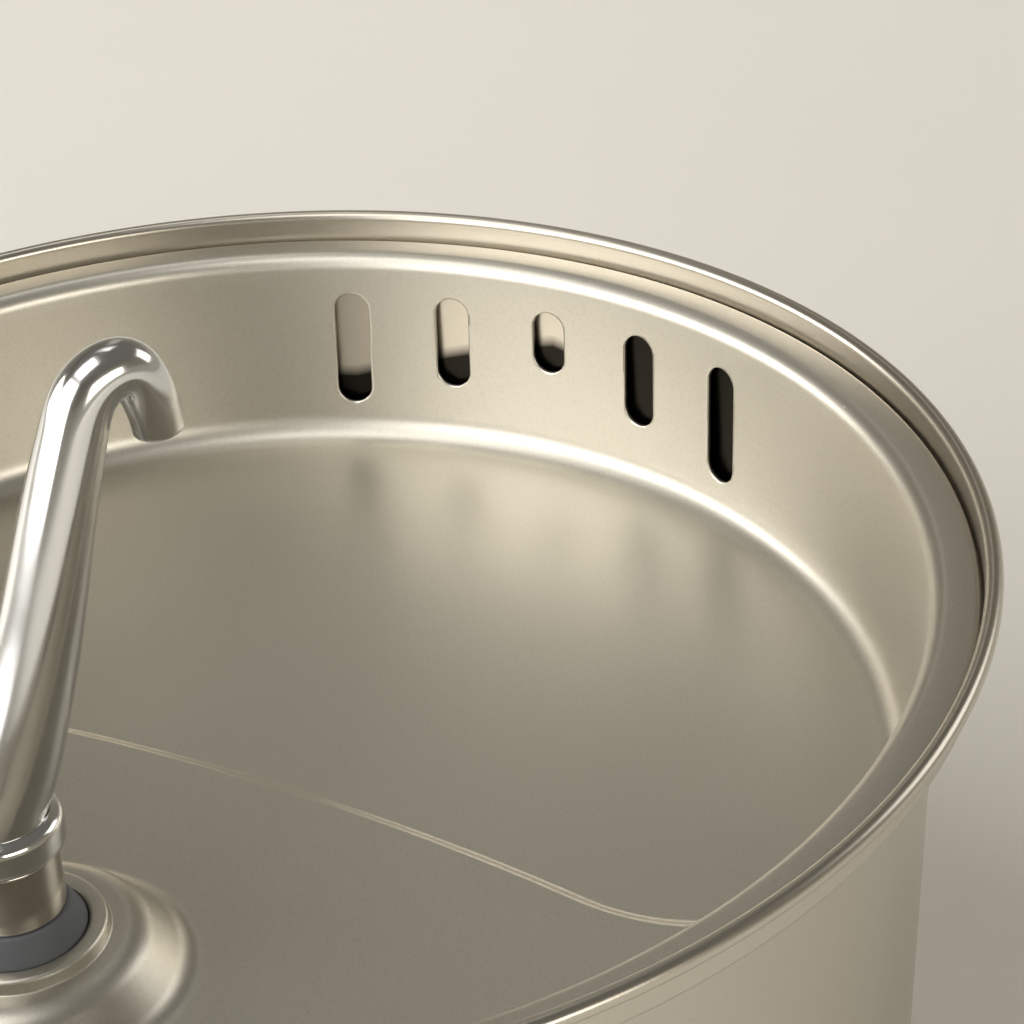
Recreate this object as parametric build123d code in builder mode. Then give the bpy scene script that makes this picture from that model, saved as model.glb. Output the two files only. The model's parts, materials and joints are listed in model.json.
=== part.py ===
from build123d import *
import math
import os

# Pet water fountain: drawn steel tank with a rolled rim, lift-out slotted drinking tray,
# gooseneck faucet, submersible pump and a filter box.
# Units are millimetres. Origin: centre of the underside of the anti-slip ring, +Z up.
# The faucet stands on the -Y side of the tray, the drain slots are on the +Y side.

os.makedirs("parts", exist_ok=True)

# ---------------------------------------------------------------- steel sheet and tank
sheet = 0.6                  # gauge of the drawn steel
ring_h = 2.5                 # anti-slip ring height
ring_r_in = 72.0             # anti-slip ring inner radius
ring_r_out = 86.0            # anti-slip ring outer radius
rim_r = 105.0                # outermost radius of the rolled rim
bead_r = 1.2                 # radius of the rolled bead
rim_z = 110.8                # height of the bead centre
ledge_w = 6.1                # width of the ledge that carries the tray
ledge_bend = 2.0             # outside radius where the ledge turns down into the wall
wall_taper = 5.5             # how much the tank wall closes in towards the bottom
tank_foot_fillet = 5.0       # inner corner radius at the bottom of the tank
bend_small = 0.35            # tightest inside bend of the steel sheet
curl_end = math.radians(-80)  # where the rolled rim stops

# ---------------------------------------------------------------- tray
rim_gap = 0.4                # clearance between the tray skirt and the tank collar
flange_drop = 3.0            # tray flange top below the bead centre
skirt_h = 2.0                # height of the turned-down edge of the flange
skirt_bend = 1.0             # outside bend radius of the turned-down edge
flange_w = 6.6               # width of the tray flange
wall_bend = 2.6              # rounding between flange and tray wall
draft = math.radians(5.0)    # draft of the tray wall
basin_drop = 34.7            # basin floor below the bead centre
deck_rise = 1.6              # faucet deck above the basin floor
floor_fillet = 4.5           # rounding between tray wall and floor
flange_band = 5.0            # height of the tray rim that is formed apart from the basin
deck_edge_gap = 26.0         # from the foot of the boss to the front of the faucet deck
deck_edge_curve = 357.0      # radius of the gently bowed deck edge
deck_corner = 31.0           # radius where the deck edge sweeps into the wall
deck_corner_gap = 5.0        # from that sweep to the tray wall
slot_w = 5.6                 # drain slot width
slot_drop = 9.4              # top of the drain slots below the bead centre
slot_pitch = 10.3            # angle between drain slots, degrees
slot_lengths = (19.2, 15.4, 10.4, 15.4, 19.2)
slot_cut = 8.0               # depth of the punch on each side of the tray wall

# ---------------------------------------------------------------- cord outlet of the tank
cord_r = 2.0                 # radius of the cord passage
outlet_z = 67.0              # height of the cord outlet
outlet_hole_r = 5.0          # hole in the tank wall
outlet_rim_r = 6.8           # flange of the outlet grommet
outlet_rim_t = 1.2           # flange thickness
outlet_play = 0.1            # play of the grommet flanges on the wall
outlet_cut = 6.0             # depth of the punch on each side of the tank wall

# ---------------------------------------------------------------- faucet
boss_r = 21.5                # foot radius of the raised boss
boss_h = 8.4                 # lip of the boss above the deck
boss_shoulder = 6.6          # shoulder of the boss above the deck
boss_lip_r = 11.4            # outer radius of the lip
boss_hole_r = 8.9            # hole in the boss
boss_hem = 2.4               # turned-down edge inside the hole
boss_band = 1.7              # flat run between the boss and the deck
spigot_r = 4.6               # straight lower end of the gooseneck
neck_r_low = 6.7             # gooseneck radius just above the ferrule
neck_r_end = 3.1             # gooseneck radius at the outlet
tube_wall = 0.7              # gooseneck wall
run_clear = 0.05             # radial clearance of a turning or sliding fit
seam = 0.3                   # gap between two pieces that move apart
collar_r = 6.8               # collar radius
collar_drop = 21.4           # foot of the collar below the bead centre
collar_h = 9.0               # height of the collar
socket_depth = 14.0          # depth of the spigot socket in the collar
ferrule_h = 5.4              # height of the ferrule above the collar
ferrule_r = 8.2              # widest radius of the ferrule
sleeve_r = 5.7               # sleeve under the ferrule that turns in the collar
sleeve_len = 3.0
shank_r = 5.8                # threaded shank radius
shank_len = 20.4             # length of the shank
shank_bore = 3.2             # water way in the shank
barb_len = 8.0               # hose barb length
barb_bore = 2.6              # water way in the barb
barb_ridge = 0.3             # height of a barb ridge
oring_r = 0.7                # swivel O-ring section radius
oring_up = 7.2               # O-ring height above the socket floor
grommet_slack = 0.1          # play of the grommet in the boss hole
grommet_flange_r = 13.0      # grommet flange under the boss
grommet_flange_h = 2.5       # grommet flange thickness
washer_r = 12.0              # washer radius
washer_t = 1.0               # washer thickness
nut_flats = 19.0             # lock nut across flats
nut_h = 5.0                  # lock nut height
spout_turn = math.radians(30)  # rest direction of the spout, from +Y towards +X
# reach from the faucet axis and height above the foot of the neck, along the neck
neck_points = ((2.1, 5.0), (4.8, 10.8), (7.3, 17.0), (10.1, 24.6), (12.8, 32.6), (15.4, 40.2),
               (18.2, 47.8), (21.8, 53.2), (25.4, 53.8), (27.8, 50.2))
neck_end = (28.7, 44.2)      # outlet
neck_end_run = 0.06          # outward lean of the outlet
insert_len = 2.4             # flow straightener length
insert_back = 0.8            # how far the straightener sits inside the outlet
insert_play = 0.12           # play of the straightener in the outlet
insert_wall = 0.5            # straightener wall and cross thickness

# ---------------------------------------------------------------- pump
pump_half = 19.0             # half width of the pump
pump_z0 = 9.6                # underside of the pump
pump_h = 34.0                # height of the pump body
shaft_z = 29.0               # height of the impeller shaft
nozzle_back = 9.0            # from the outlet nozzle back to the motor can
can_wall = 2.0               # wall of the motor can
chamber_len = 16.0           # length of the pump chamber
chamber_r = 12.4             # inner radius of the pump chamber
chamber_front = 2.4          # front wall of the pump chamber
cover_len = 6.0              # length of the intake cover
cover_r = 13.6               # radius of the intake cover
cover_wall = 1.5             # wall of the intake cover
port_r = 2.8                 # intake port radius
port_ring = 6.6              # radius of the circle of intake ports
intake_slot_len = 16.0       # slots of the intake cover
body_round = 3.0             # corner radius of the pump body
well_r = 5.9                 # inner radius of the rotor well
well_wall = 1.1              # wall of the rotor well
magnet_r = 5.4               # rotor magnet radius
magnet_back = 1.0            # rotor magnet behind the face of the motor can
shaft_r = 1.0                # ceramic shaft radius
hub_r = 3.4                  # impeller hub radius
blade_r = 11.4               # impeller tip radius
blade_t = 1.2                # impeller blade thickness
blade_w = 7.6                # impeller blade width along the shaft
blade_disc = 1.0             # impeller back disc
blades = 6
seat_r = 3.0                 # rubber shaft seat radius
seat_len = 2.4               # rubber shaft seat length
seat_wall = 1.4              # plastic round the shaft seat
end_play = 0.7               # gap at each end of the rotor
core_room = 1.9              # free length at each end of the winding
core_half = 15.0             # half width of the stator core
core_gap = 0.3               # gap between core and rotor well
yoke_z0 = 14.0               # underside of the core yoke
yoke_z1 = 18.0               # top of the core yoke
shoe_z = 20.6                # underside of the pole shoes
core_top = 38.6              # top of the stator core
leg_in = 9.6                 # inner face of the core legs
pole_slit = 1.5              # half width of the slit between the pole shoes
bobbin_half = 9.2            # half length of the coil bobbin
bobbin_t = 0.7               # bobbin wall
bobbin_gap = 0.1             # play of the bobbin on the yoke
coil_t = 1.4                 # winding build-up
nozzle_r = 3.9               # outlet nozzle radius
nozzle_top = 56.0            # top of the outlet nozzle
nozzle_bore = 2.7            # outlet bore
gate_t = 1.2                 # flow gate thickness
gate_r = 11.6                # flow gate radius
gate_stub = 2.0              # pivot stub of the flow gate
gate_tab_w = 3.4             # finger tab width
gate_swing = 50.0            # travel of the flow gate, degrees
cup_stem_r = 2.2             # stem of a suction cup
cup_foot_r = 6.0             # rim of a suction cup
cup_stem_len = 1.9           # stem length inside the pump body
cup_x = 12.5                 # suction cup position across
cup_inset = 6.5              # suction cups from the ends of the pump body
cup_play = 0.05              # play of a suction cup stem
gland_r = 3.2                # cable gland radius
gland_rim = 4.4              # cable gland flange radius
gland_rim_t = 1.5            # cable gland flange thickness
gland_x = 10.5               # cable gland position across
gland_z = 34.5               # cable gland height

# ---------------------------------------------------------------- hose and filter box
hose_wall = 2.0              # silicone hose wall
hose_z0 = 46.6               # lower end of the hose
box_r = 41.0                 # filter box outer radius
box_wall_gap = 1.5           # between filter box and tank wall
pump_gap = 1.0               # between the pump corners and the filter box
box_wall = 1.8               # filter box wall
box_floor = 2.0              # filter box floor
box_h = 46.0                 # filter box height
box_corner = 5.0             # rounding at the foot of the filter box
box_notch_w = 6.0            # cord notch in the filter box
box_notch_h = 14.0
lid_floor = 1.6              # lid plate thickness
lid_skirt = 5.0              # lid skirt height
lid_wall = 1.6               # lid wall thickness
pan_edge = 4.6               # lid rim outside the cartridge pan
pan_wall = 1.2
pan_h = 7.0                  # height of the cartridge pan wall
chimney_r = 7.2              # clear radius round the hose
chimney_wall = 1.4
chimney_h = 9.0
pan_ports = 10               # water holes in the lid
pan_port_r = 3.6
cart_gap = 0.5               # play of the cartridge in its pan
cart_hole = 9.1              # cartridge hole radius
cart_wall = 1.2
cart_floor = 1.2
carbon_h = 5.0               # activated carbon bed
cotton_h = 2.6               # cotton pad
cap_h = 1.6                  # mesh cap
fit = 0.15                   # clearance between nested plastic parts
foam_half = 16.0             # half width of the foam block
foam_z0 = 10.0               # underside of the foam block
foam_h = 35.0                # height of the foam block
foam_front = 20.0            # foam in front of the intake cover
foam_round = 2.0

# ---------------------------------------------------------------- derived sizes
tank_floor = ring_h + sheet
collar_in = rim_r - 2 * bead_r
ledge_r = collar_in - ledge_w
tank_foot_r = ledge_r - wall_taper
flange_z = rim_z - flange_drop
flange_r = collar_in - rim_gap
ledge_z = flange_z - skirt_h
tray_wall_r = flange_r - flange_w
basin_z = rim_z - basin_drop
deck_z = basin_z + deck_rise
lip_z = deck_z + boss_h
hem_foot = lip_z - boss_hem
collar_foot = rim_z - collar_drop
collar_top = collar_foot + collar_h
socket_floor = collar_top - socket_depth
shank_foot = collar_foot - shank_len
barb_foot = shank_foot - barb_len
neck_foot = collar_top + ferrule_h
box_z0 = tank_floor
box_in_r = box_r - box_wall
faucet_y = -(tank_foot_r - box_wall_gap - box_r)
deck_edge_y = faucet_y + boss_r + deck_edge_gap
face_y = faucet_y - nozzle_back
can_len = math.sqrt((box_in_r - pump_gap) ** 2 - pump_half ** 2) - nozzle_back
core_len = can_len - 2 * (can_wall + bobbin_t + coil_t + core_room)
nozzle_hose_r = nozzle_r + 2 * run_clear
hose_r = nozzle_hose_r + hose_wall
washer_z = hem_foot - grommet_flange_h - washer_t
nut_z = washer_z - nut_h
can_y0 = face_y - can_len
chamber_y1 = face_y + chamber_len
chamber_in = chamber_y1 - chamber_front
cover_y1 = chamber_y1 + cover_len
well_end = can_y0 + can_wall + core_gap + well_wall
cup_ys = (can_y0 + cup_inset, chamber_y1 - cup_inset)
lid_z = box_z0 + box_h
cart_z = lid_z + lid_floor
pan_r = box_r - pan_edge
cart_r = pan_r - cart_gap
cart_h = cart_floor + carbon_h + cotton_h + cap_h


def corner_line(points):
    """Open line through (x, y, radius) points with rounded corners."""
    last = None
    for i, (px, py, rad) in enumerate(points):
        p = Vector(px, py)
        if rad <= 0 or i == 0 or i == len(points) - 1:
            if last is not None:
                Line(last, p)
            last = p
            continue
        a = (Vector(points[i - 1][0], points[i - 1][1]) - p).normalized()
        b = (Vector(points[i + 1][0], points[i + 1][1]) - p).normalized()
        half = math.acos(max(-1.0, min(1.0, a.dot(b)))) / 2
        run = rad / math.tan(half)
        mid_dir = (a + b).normalized()
        arc_mid = p + mid_dir * (rad / math.sin(half) - rad)
        Line(last, p + a * run)
        ThreePointArc(p + a * run, arc_mid, p + b * run)
        last = p + b * run
    return last


def closed_line(points):
    """Closed outline; the first and last corner stay sharp."""
    end = corner_line(points)
    Line(end, Vector(points[0][0], points[0][1]))


def wall_r(z):
    return tray_wall_r - (flange_z - z) * math.tan(draft)


def across(y):
    """Upright plane at y; sketch x runs along -X, sketch y along +Z."""
    return Plane(origin=(0, y, 0), x_dir=(-1, 0, 0), z_dir=(0, 1, 0))


faucet_plane = Plane(origin=(0, faucet_y, 0), x_dir=(1, 0, 0), z_dir=(0, -1, 0))
faucet_axis = Axis((0, faucet_y, 0), (0, 0, 1))

# ---------------------------------------------------------------- anti-slip ring
with BuildPart() as base_ring:
    with BuildSketch(Plane.XZ):
        with BuildLine():
            closed_line([
                (ring_r_in, ring_h, 0),
                (ring_r_in, 0, 0.8),
                (ring_r_out, 0, 0.8),
                (ring_r_out, ring_h, 0),
            ])
        make_face()
    revolve(axis=Axis.Z)
base_ring.part.label = "base_ring"
export_step(base_ring.part, "parts/base_ring.step")

# ---------------------------------------------------------------- tank
bead_x = collar_in + bead_r
wall_mid = tank_foot_r + wall_taper * (outlet_z - tank_floor) / (ledge_z - tank_floor)
with BuildPart() as tank:
    with BuildSketch(Plane.XZ):
        with BuildLine():
            corner_line([
                (0, tank_floor, 0),
                (tank_foot_r, tank_floor, tank_foot_fillet),
                (ledge_r, ledge_z, ledge_bend + sheet),
                (collar_in, ledge_z, bend_small),
                (collar_in, rim_z, 0),
            ])
            ThreePointArc(
                (collar_in, rim_z),
                (bead_x, rim_z + bead_r),
                (bead_x + bead_r, rim_z),
            )
            ThreePointArc(
                (bead_x + bead_r, rim_z),
                (bead_x + bead_r * math.cos(curl_end / 2), rim_z + bead_r * math.sin(curl_end / 2)),
                (bead_x + bead_r * math.cos(curl_end), rim_z + bead_r * math.sin(curl_end)),
            )
            inner_bead = bead_r - sheet
            Line(
                (bead_x + bead_r * math.cos(curl_end), rim_z + bead_r * math.sin(curl_end)),
                (bead_x + inner_bead * math.cos(curl_end), rim_z + inner_bead * math.sin(curl_end)),
            )
            ThreePointArc(
                (bead_x + inner_bead * math.cos(curl_end), rim_z + inner_bead * math.sin(curl_end)),
                (bead_x + inner_bead * math.cos(curl_end / 2), rim_z + inner_bead * math.sin(curl_end / 2)),
                (bead_x + inner_bead, rim_z),
            )
            ThreePointArc(
                (bead_x + inner_bead, rim_z),
                (bead_x, rim_z + inner_bead),
                (bead_x - inner_bead, rim_z),
            )
            corner_line([
                (bead_x - inner_bead, rim_z, 0),
                (collar_in + sheet, ledge_z - sheet, bend_small + sheet),
                (ledge_r + sheet, ledge_z - sheet, ledge_bend),
                (tank_foot_r + sheet, ring_h, tank_foot_fillet + sheet),
                (0, ring_h, 0),
            ])
            Line((0, ring_h), (0, tank_floor))
        make_face()
    revolve(axis=Axis.Z)
    with BuildSketch(across(-wall_mid - outlet_cut)):
        with Locations((0, outlet_z)):
            Circle(outlet_hole_r)
    extrude(amount=2 * outlet_cut, mode=Mode.SUBTRACT)
tank.part.label = "tank"
export_step(tank.part, "parts/tank.step")


# ---------------------------------------------------------------- tray
def basin_face(grow):
    """Plan of the deeper basin in front of the faucet deck, grown outwards by grow."""
    edge_r = deck_edge_curve - grow
    cy = deck_edge_y - deck_edge_curve
    end_x = wall_r(basin_z) - deck_corner_gap + grow
    far_y = tray_wall_r + flange_w
    end_y = cy + math.sqrt(edge_r ** 2 - end_x ** 2)
    with BuildSketch(Plane.XY, mode=Mode.PRIVATE) as sk:
        with BuildLine():
            ThreePointArc((-end_x, end_y), (0, cy + edge_r), (end_x, end_y))
            Line((end_x, end_y), (end_x, far_y))
            Line((end_x, far_y), (-end_x, far_y))
            Line((-end_x, far_y), (-end_x, end_y))
        make_face()
        fillet(sk.vertices().sort_by(Axis.Y)[:2], radius=deck_corner + grow)
    return sk.sketch


def void_profile(floor_z, grow):
    """Half section of the room inside the tray, grown by grow."""
    top = flange_z - flange_band
    foot_r = wall_r(floor_z) + grow
    with BuildSketch(Plane.XZ, mode=Mode.PRIVATE) as sk:
        with BuildLine():
            closed_line([
                (0, top, 0),
                (0, floor_z - grow, 0),
                (foot_r, floor_z - grow, floor_fillet + grow),
                (wall_r(top) + grow, top, 0),
            ])
        make_face()
    return sk.sketch


def tray_void(grow):
    deck_room = revolve(void_profile(deck_z, grow), axis=Axis.Z, revolution_arc=360, mode=Mode.PRIVATE)
    basin_room = revolve(void_profile(basin_z, grow), axis=Axis.Z, revolution_arc=360, mode=Mode.PRIVATE)
    foot = Pos(0, 0, basin_z - 2 * deck_rise) * basin_face(grow)
    tall = extrude(foot, amount=basin_drop, mode=Mode.PRIVATE)
    return deck_room + (basin_room & tall)


with BuildPart() as tray:
    add(tray_void(sheet) - tray_void(0.0))
    with BuildSketch(Plane.XZ):
        with BuildLine():
            closed_line([
                (wall_r(flange_z - flange_band), flange_z - flange_band, 0),
                (tray_wall_r, flange_z, wall_bend),
                (flange_r, flange_z, skirt_bend),
                (flange_r, ledge_z, 0),
                (flange_r - sheet, ledge_z, 0),
                (flange_r - sheet, flange_z - sheet, skirt_bend - sheet),
                (tray_wall_r + sheet, flange_z - sheet, wall_bend - sheet),
                (wall_r(flange_z - flange_band) + sheet, flange_z - flange_band, 0),
            ])
        make_face()
    revolve(axis=Axis.Z)
    # raised boss with the faucet hole
    with Locations((0, faucet_y, deck_z)):
        Cylinder(boss_r + boss_band - sheet / 3, 4 * sheet, mode=Mode.SUBTRACT)
    with BuildSketch(faucet_plane):
        with BuildLine():
            closed_line([
                (boss_r + boss_band, deck_z, 0),
                (boss_r - 1.0, deck_z, 4.0),
                (boss_r - 6.0, deck_z + boss_shoulder, 4.6),
                (boss_lip_r + 0.3, deck_z + boss_shoulder, 0.3),
                (boss_lip_r - 0.2, lip_z, 0.7),
                (boss_hole_r, lip_z, 0.7),
                (boss_hole_r, hem_foot, 0),
                (boss_hole_r + sheet, hem_foot, 0),
                (boss_hole_r + sheet, lip_z - sheet, 0.1),
                (boss_lip_r - 0.8, lip_z - sheet, 0.1),
                (boss_lip_r - 0.3, deck_z + boss_shoulder - sheet, 0.4),
                (boss_r - 6.3, deck_z + boss_shoulder - sheet, 4.0),
                (boss_r - 1.3, deck_z - sheet, 4.6),
                (boss_r + boss_band, deck_z - sheet, 0),
            ])
        make_face()
    revolve(axis=faucet_axis)
    # drain slots
    for i, length in enumerate(slot_lengths):
        a = math.radians((i - 2) * slot_pitch)
        slot_z = rim_z - slot_drop - length / 2
        punch_r = wall_r(slot_z) - slot_cut
        slot_plane = Plane(
            origin=(punch_r * math.sin(a), punch_r * math.cos(a), slot_z),
            x_dir=(math.cos(a), -math.sin(a), 0),
            z_dir=(math.sin(a), math.cos(a), 0),
        )
        with BuildSketch(slot_plane):
            SlotOverall(length, slot_w, rotation=90)
        extrude(amount=2 * slot_cut, mode=Mode.SUBTRACT)
tray.part.label = "tray"
export_step(tray.part, "parts/tray.step")

# ---------------------------------------------------------------- cord outlet grommet
wall_lean = outlet_rim_r * wall_taper / (ledge_z - tank_floor)
wall_bow = outlet_rim_r ** 2 / (2 * wall_mid)
rim_out = -wall_mid - sheet - wall_lean - outlet_play
rim_in = -wall_mid + wall_bow + wall_lean + outlet_play
with BuildPart() as cord_grommet:
    with BuildSketch(across(rim_out)):
        with Locations((0, outlet_z)):
            Circle(outlet_hole_r - grommet_slack)
    extrude(amount=rim_in - rim_out)
    with BuildSketch(across(rim_out - outlet_rim_t)):
        with Locations((0, outlet_z)):
            Circle(outlet_rim_r)
    extrude(amount=outlet_rim_t)
    with BuildSketch(across(rim_in)):
        with Locations((0, outlet_z)):
            Circle(outlet_rim_r)
    extrude(amount=outlet_rim_t)
    rims = [e for e in cord_grommet.edges().filter_by(GeomType.CIRCLE) if e.radius > outlet_hole_r]
    fillet(rims, radius=outlet_rim_t / 3)
    with BuildSketch(across(rim_out - 5.0)):
        with Locations((0, outlet_z)):
            Circle(cord_r)
    extrude(amount=15.0, mode=Mode.SUBTRACT)
cord_grommet.part.label = "cord_grommet"
export_step(cord_grommet.part, "parts/cord_grommet.step")

# ---------------------------------------------------------------- grommet in the boss
with BuildPart() as boss_grommet:
    with BuildSketch(faucet_plane):
        with BuildLine():
            closed_line([
                (shank_r, collar_foot, 0),
                (collar_r + 0.3, collar_foot, 0.6),
                (boss_hole_r - grommet_slack, lip_z - 0.2, 0.6),
                (boss_hole_r - grommet_slack, hem_foot, 0),
                (grommet_flange_r, hem_foot, 0.6),
                (grommet_flange_r, hem_foot - grommet_flange_h, 0.6),
                (shank_r, hem_foot - grommet_flange_h, 0),
            ])
        make_face()
    revolve(axis=faucet_axis)
boss_grommet.part.label = "boss_grommet"
export_step(boss_grommet.part, "parts/boss_grommet.step")

with BuildPart() as washer:
    with BuildSketch(Plane.XY.offset(washer_z)):
        with Locations((0, faucet_y)):
            Circle(washer_r)
            Circle(shank_r + grommet_slack, mode=Mode.SUBTRACT)
    extrude(amount=washer_t)
washer.part.label = "washer"
export_step(washer.part, "parts/washer.step")

with BuildPart() as lock_nut:
    with BuildSketch(Plane.XY.offset(nut_z)):
        with Locations((0, faucet_y)):
            RegularPolygon(nut_flats / 2, 6, major_radius=False)
            Circle(shank_r, mode=Mode.SUBTRACT)
    extrude(amount=nut_h)
    chamfer(lock_nut.edges().filter_by(GeomType.LINE).group_by(Axis.Z)[0], length=0.5)
lock_nut.part.label = "lock_nut"
export_step(lock_nut.part, "parts/lock_nut.step")

# ---------------------------------------------------------------- collar with shank and barb
oring_z = socket_floor + oring_up
oring_mid = spigot_r + run_clear + oring_r
with BuildPart() as faucet_collar:
    with BuildSketch(faucet_plane):
        with BuildLine():
            closed_line([
                (barb_bore, barb_foot, 0),
                (nozzle_hose_r - barb_ridge, barb_foot, 0.3),
                (nozzle_hose_r + barb_ridge, barb_foot + 2.0, 0),
                (nozzle_hose_r - barb_ridge / 2, barb_foot + 2.0, 0),
                (nozzle_hose_r + barb_ridge, barb_foot + 4.6, 0),
                (nozzle_hose_r - barb_ridge / 2, barb_foot + 4.6, 0),
                (nozzle_hose_r - barb_ridge / 2, shank_foot, 0),
                (shank_r, shank_foot, 0.6),
                (shank_r, collar_foot, 0),
                (collar_r, collar_foot, 0.4),
                (collar_r, collar_top, 0.5),
                (sleeve_r + run_clear, collar_top, 0),
                (sleeve_r + run_clear, collar_top - sleeve_len - seam, 0),
                (spigot_r + run_clear, collar_top - sleeve_len - seam, 0),
                (spigot_r + run_clear, socket_floor, 0),
                (shank_bore, socket_floor, 0),
                (shank_bore, shank_foot + 2.0, 0),
                (barb_bore, shank_foot, 0),
            ])
        make_face()
    revolve(axis=faucet_axis)
    with BuildSketch(faucet_plane):
        with Locations((spigot_r + oring_r, oring_z)):
            Rectangle(2 * oring_r + 4 * run_clear, 2 * oring_r + 4 * run_clear)
    revolve(axis=faucet_axis, mode=Mode.SUBTRACT)
faucet_collar.part.label = "faucet_collar"
export_step(faucet_collar.part, "parts/faucet_collar.step")

with BuildPart() as collar_oring:
    with Locations((0, faucet_y, oring_z)):
        Torus(oring_mid, oring_r)
collar_oring.part.label = "collar_oring"
export_step(collar_oring.part, "parts/collar_oring.step")

# ---------------------------------------------------------------- ferrule and gooseneck
ferrule_foot = collar_top + seam
with BuildPart() as ferrule:
    with BuildSketch(faucet_plane):
        with BuildLine():
            closed_line([
                (spigot_r, collar_top - sleeve_len, 0),
                (sleeve_r, collar_top - sleeve_len, 0.2),
                (sleeve_r, ferrule_foot, 0),
                (ferrule_r, ferrule_foot, 1.2),
                (ferrule_r, neck_foot - 0.8, 1.4),
                (neck_r_low + 0.2, neck_foot, 0.3),
                (spigot_r, neck_foot, 0),
            ])
        make_face()
    revolve(axis=faucet_axis)
ferrule.part.label = "ferrule"
export_step(ferrule.part, "parts/ferrule.step")


def neck_at(point):
    """Point of the neck centre line from its reach and its height above the neck foot."""
    return (
        point[0] * math.sin(spout_turn),
        faucet_y + point[0] * math.cos(spout_turn),
        neck_foot + point[1],
    )


def neck_dir(run, rise):
    return (run * math.sin(spout_turn), run * math.cos(spout_turn), rise)


with BuildLine() as neck_line:
    Spline(
        neck_at((0, 0)),
        *[neck_at(p) for p in neck_points],
        neck_at(neck_end),
        tangents=[neck_dir(0, 1), neck_dir(neck_end_run, -1)],
    )
neck_path = neck_line.edges()[0]


def neck_solid(low_r, end_r):
    """Solid along the neck that tapers from low_r to end_r."""
    with BuildPart(mode=Mode.PRIVATE) as body:
        with BuildSketch(Plane(origin=neck_path @ 0, z_dir=neck_path % 0)):
            Circle(low_r)
        with BuildSketch(Plane(origin=neck_path @ 1, z_dir=neck_path % 1)):
            Circle(end_r)
        sweep(path=neck_path, multisection=True)
    return body.part


with BuildPart() as gooseneck:
    add(neck_solid(neck_r_low, neck_r_end))
    with BuildSketch(Plane.XY.offset(socket_floor + seam)):
        with Locations((0, faucet_y)):
            Circle(spigot_r)
    extrude(amount=neck_foot - socket_floor - seam)
    add(neck_solid(spigot_r - tube_wall, neck_r_end - tube_wall), mode=Mode.SUBTRACT)
    with BuildSketch(Plane.XY.offset(socket_floor + seam)):
        with Locations((0, faucet_y)):
            Circle(spigot_r - tube_wall)
    extrude(amount=neck_foot - socket_floor - seam, mode=Mode.SUBTRACT)
gooseneck.part.label = "gooseneck"
export_step(gooseneck.part, "parts/gooseneck.step")

outlet_dir = (neck_path % 1).normalized()
outlet_at = neck_path @ 1 - outlet_dir * (insert_back + insert_len)
insert_r = neck_r_end - tube_wall - insert_play
with BuildPart() as outlet_insert:
    with BuildSketch(Plane(origin=outlet_at, x_dir=(1, 0, 0), z_dir=outlet_dir)):
        Circle(insert_r)
        Circle(insert_r - insert_wall, mode=Mode.SUBTRACT)
    extrude(amount=insert_len)
    with BuildSketch(Plane(origin=outlet_at, x_dir=(1, 0, 0), z_dir=outlet_dir)):
        Rectangle(2 * insert_r - insert_wall, insert_wall)
        Rectangle(insert_wall, 2 * insert_r - insert_wall)
    extrude(amount=insert_len)
outlet_insert.part.label = "outlet_insert"
export_step(outlet_insert.part, "parts/outlet_insert.step")

# ---------------------------------------------------------------- hose
with BuildPart() as hose:
    with BuildSketch(Plane.XY.offset(hose_z0)):
        with Locations((0, faucet_y)):
            Circle(hose_r)
            Circle(nozzle_hose_r, mode=Mode.SUBTRACT)
    extrude(amount=shank_foot - hose_z0)
hose.part.label = "hose"
export_step(hose.part, "parts/hose.step")

# ---------------------------------------------------------------- motor can
body_z = pump_z0 + pump_h / 2
with BuildPart() as pump_can:
    with BuildSketch(across(can_y0)):
        with Locations((0, body_z)):
            RectangleRounded(2 * pump_half, pump_h, body_round)
    extrude(amount=can_len)
    with BuildSketch(across(can_y0)):
        with Locations((0, body_z)):
            RectangleRounded(2 * (pump_half - can_wall), pump_h - 2 * can_wall, body_round - can_wall)
    extrude(amount=can_len - can_wall, mode=Mode.SUBTRACT)
    with BuildSketch(across(well_end - well_wall)):
        with Locations((0, shaft_z)):
            Circle(well_r + well_wall)
    extrude(amount=face_y - well_end + well_wall)
    with BuildSketch(across(well_end)):
        with Locations((0, shaft_z)):
            Circle(well_r)
    extrude(amount=can_len, mode=Mode.SUBTRACT)
    with BuildSketch(across(well_end)):
        with Locations((0, shaft_z)):
            Circle(seat_r + seat_wall)
            Circle(seat_r, mode=Mode.SUBTRACT)
    extrude(amount=seat_len)
    with BuildSketch(Plane.XY.offset(pump_z0)):
        with Locations((cup_x, cup_ys[0]), (-cup_x, cup_ys[0])):
            Circle(cup_stem_r + cup_play)
    extrude(amount=can_wall, mode=Mode.SUBTRACT)
pump_can.part.label = "pump_can"
export_step(pump_can.part, "parts/pump_can.step")

with BuildPart() as can_plate:
    with BuildSketch(across(can_y0)):
        with Locations((0, body_z)):
            RectangleRounded(2 * (pump_half - can_wall), pump_h - 2 * can_wall, body_round - can_wall)
        with Locations((-gland_x, gland_z)):
            Circle(gland_r, mode=Mode.SUBTRACT)
    extrude(amount=can_wall)
can_plate.part.label = "can_plate"
export_step(can_plate.part, "parts/can_plate.step")

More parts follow.
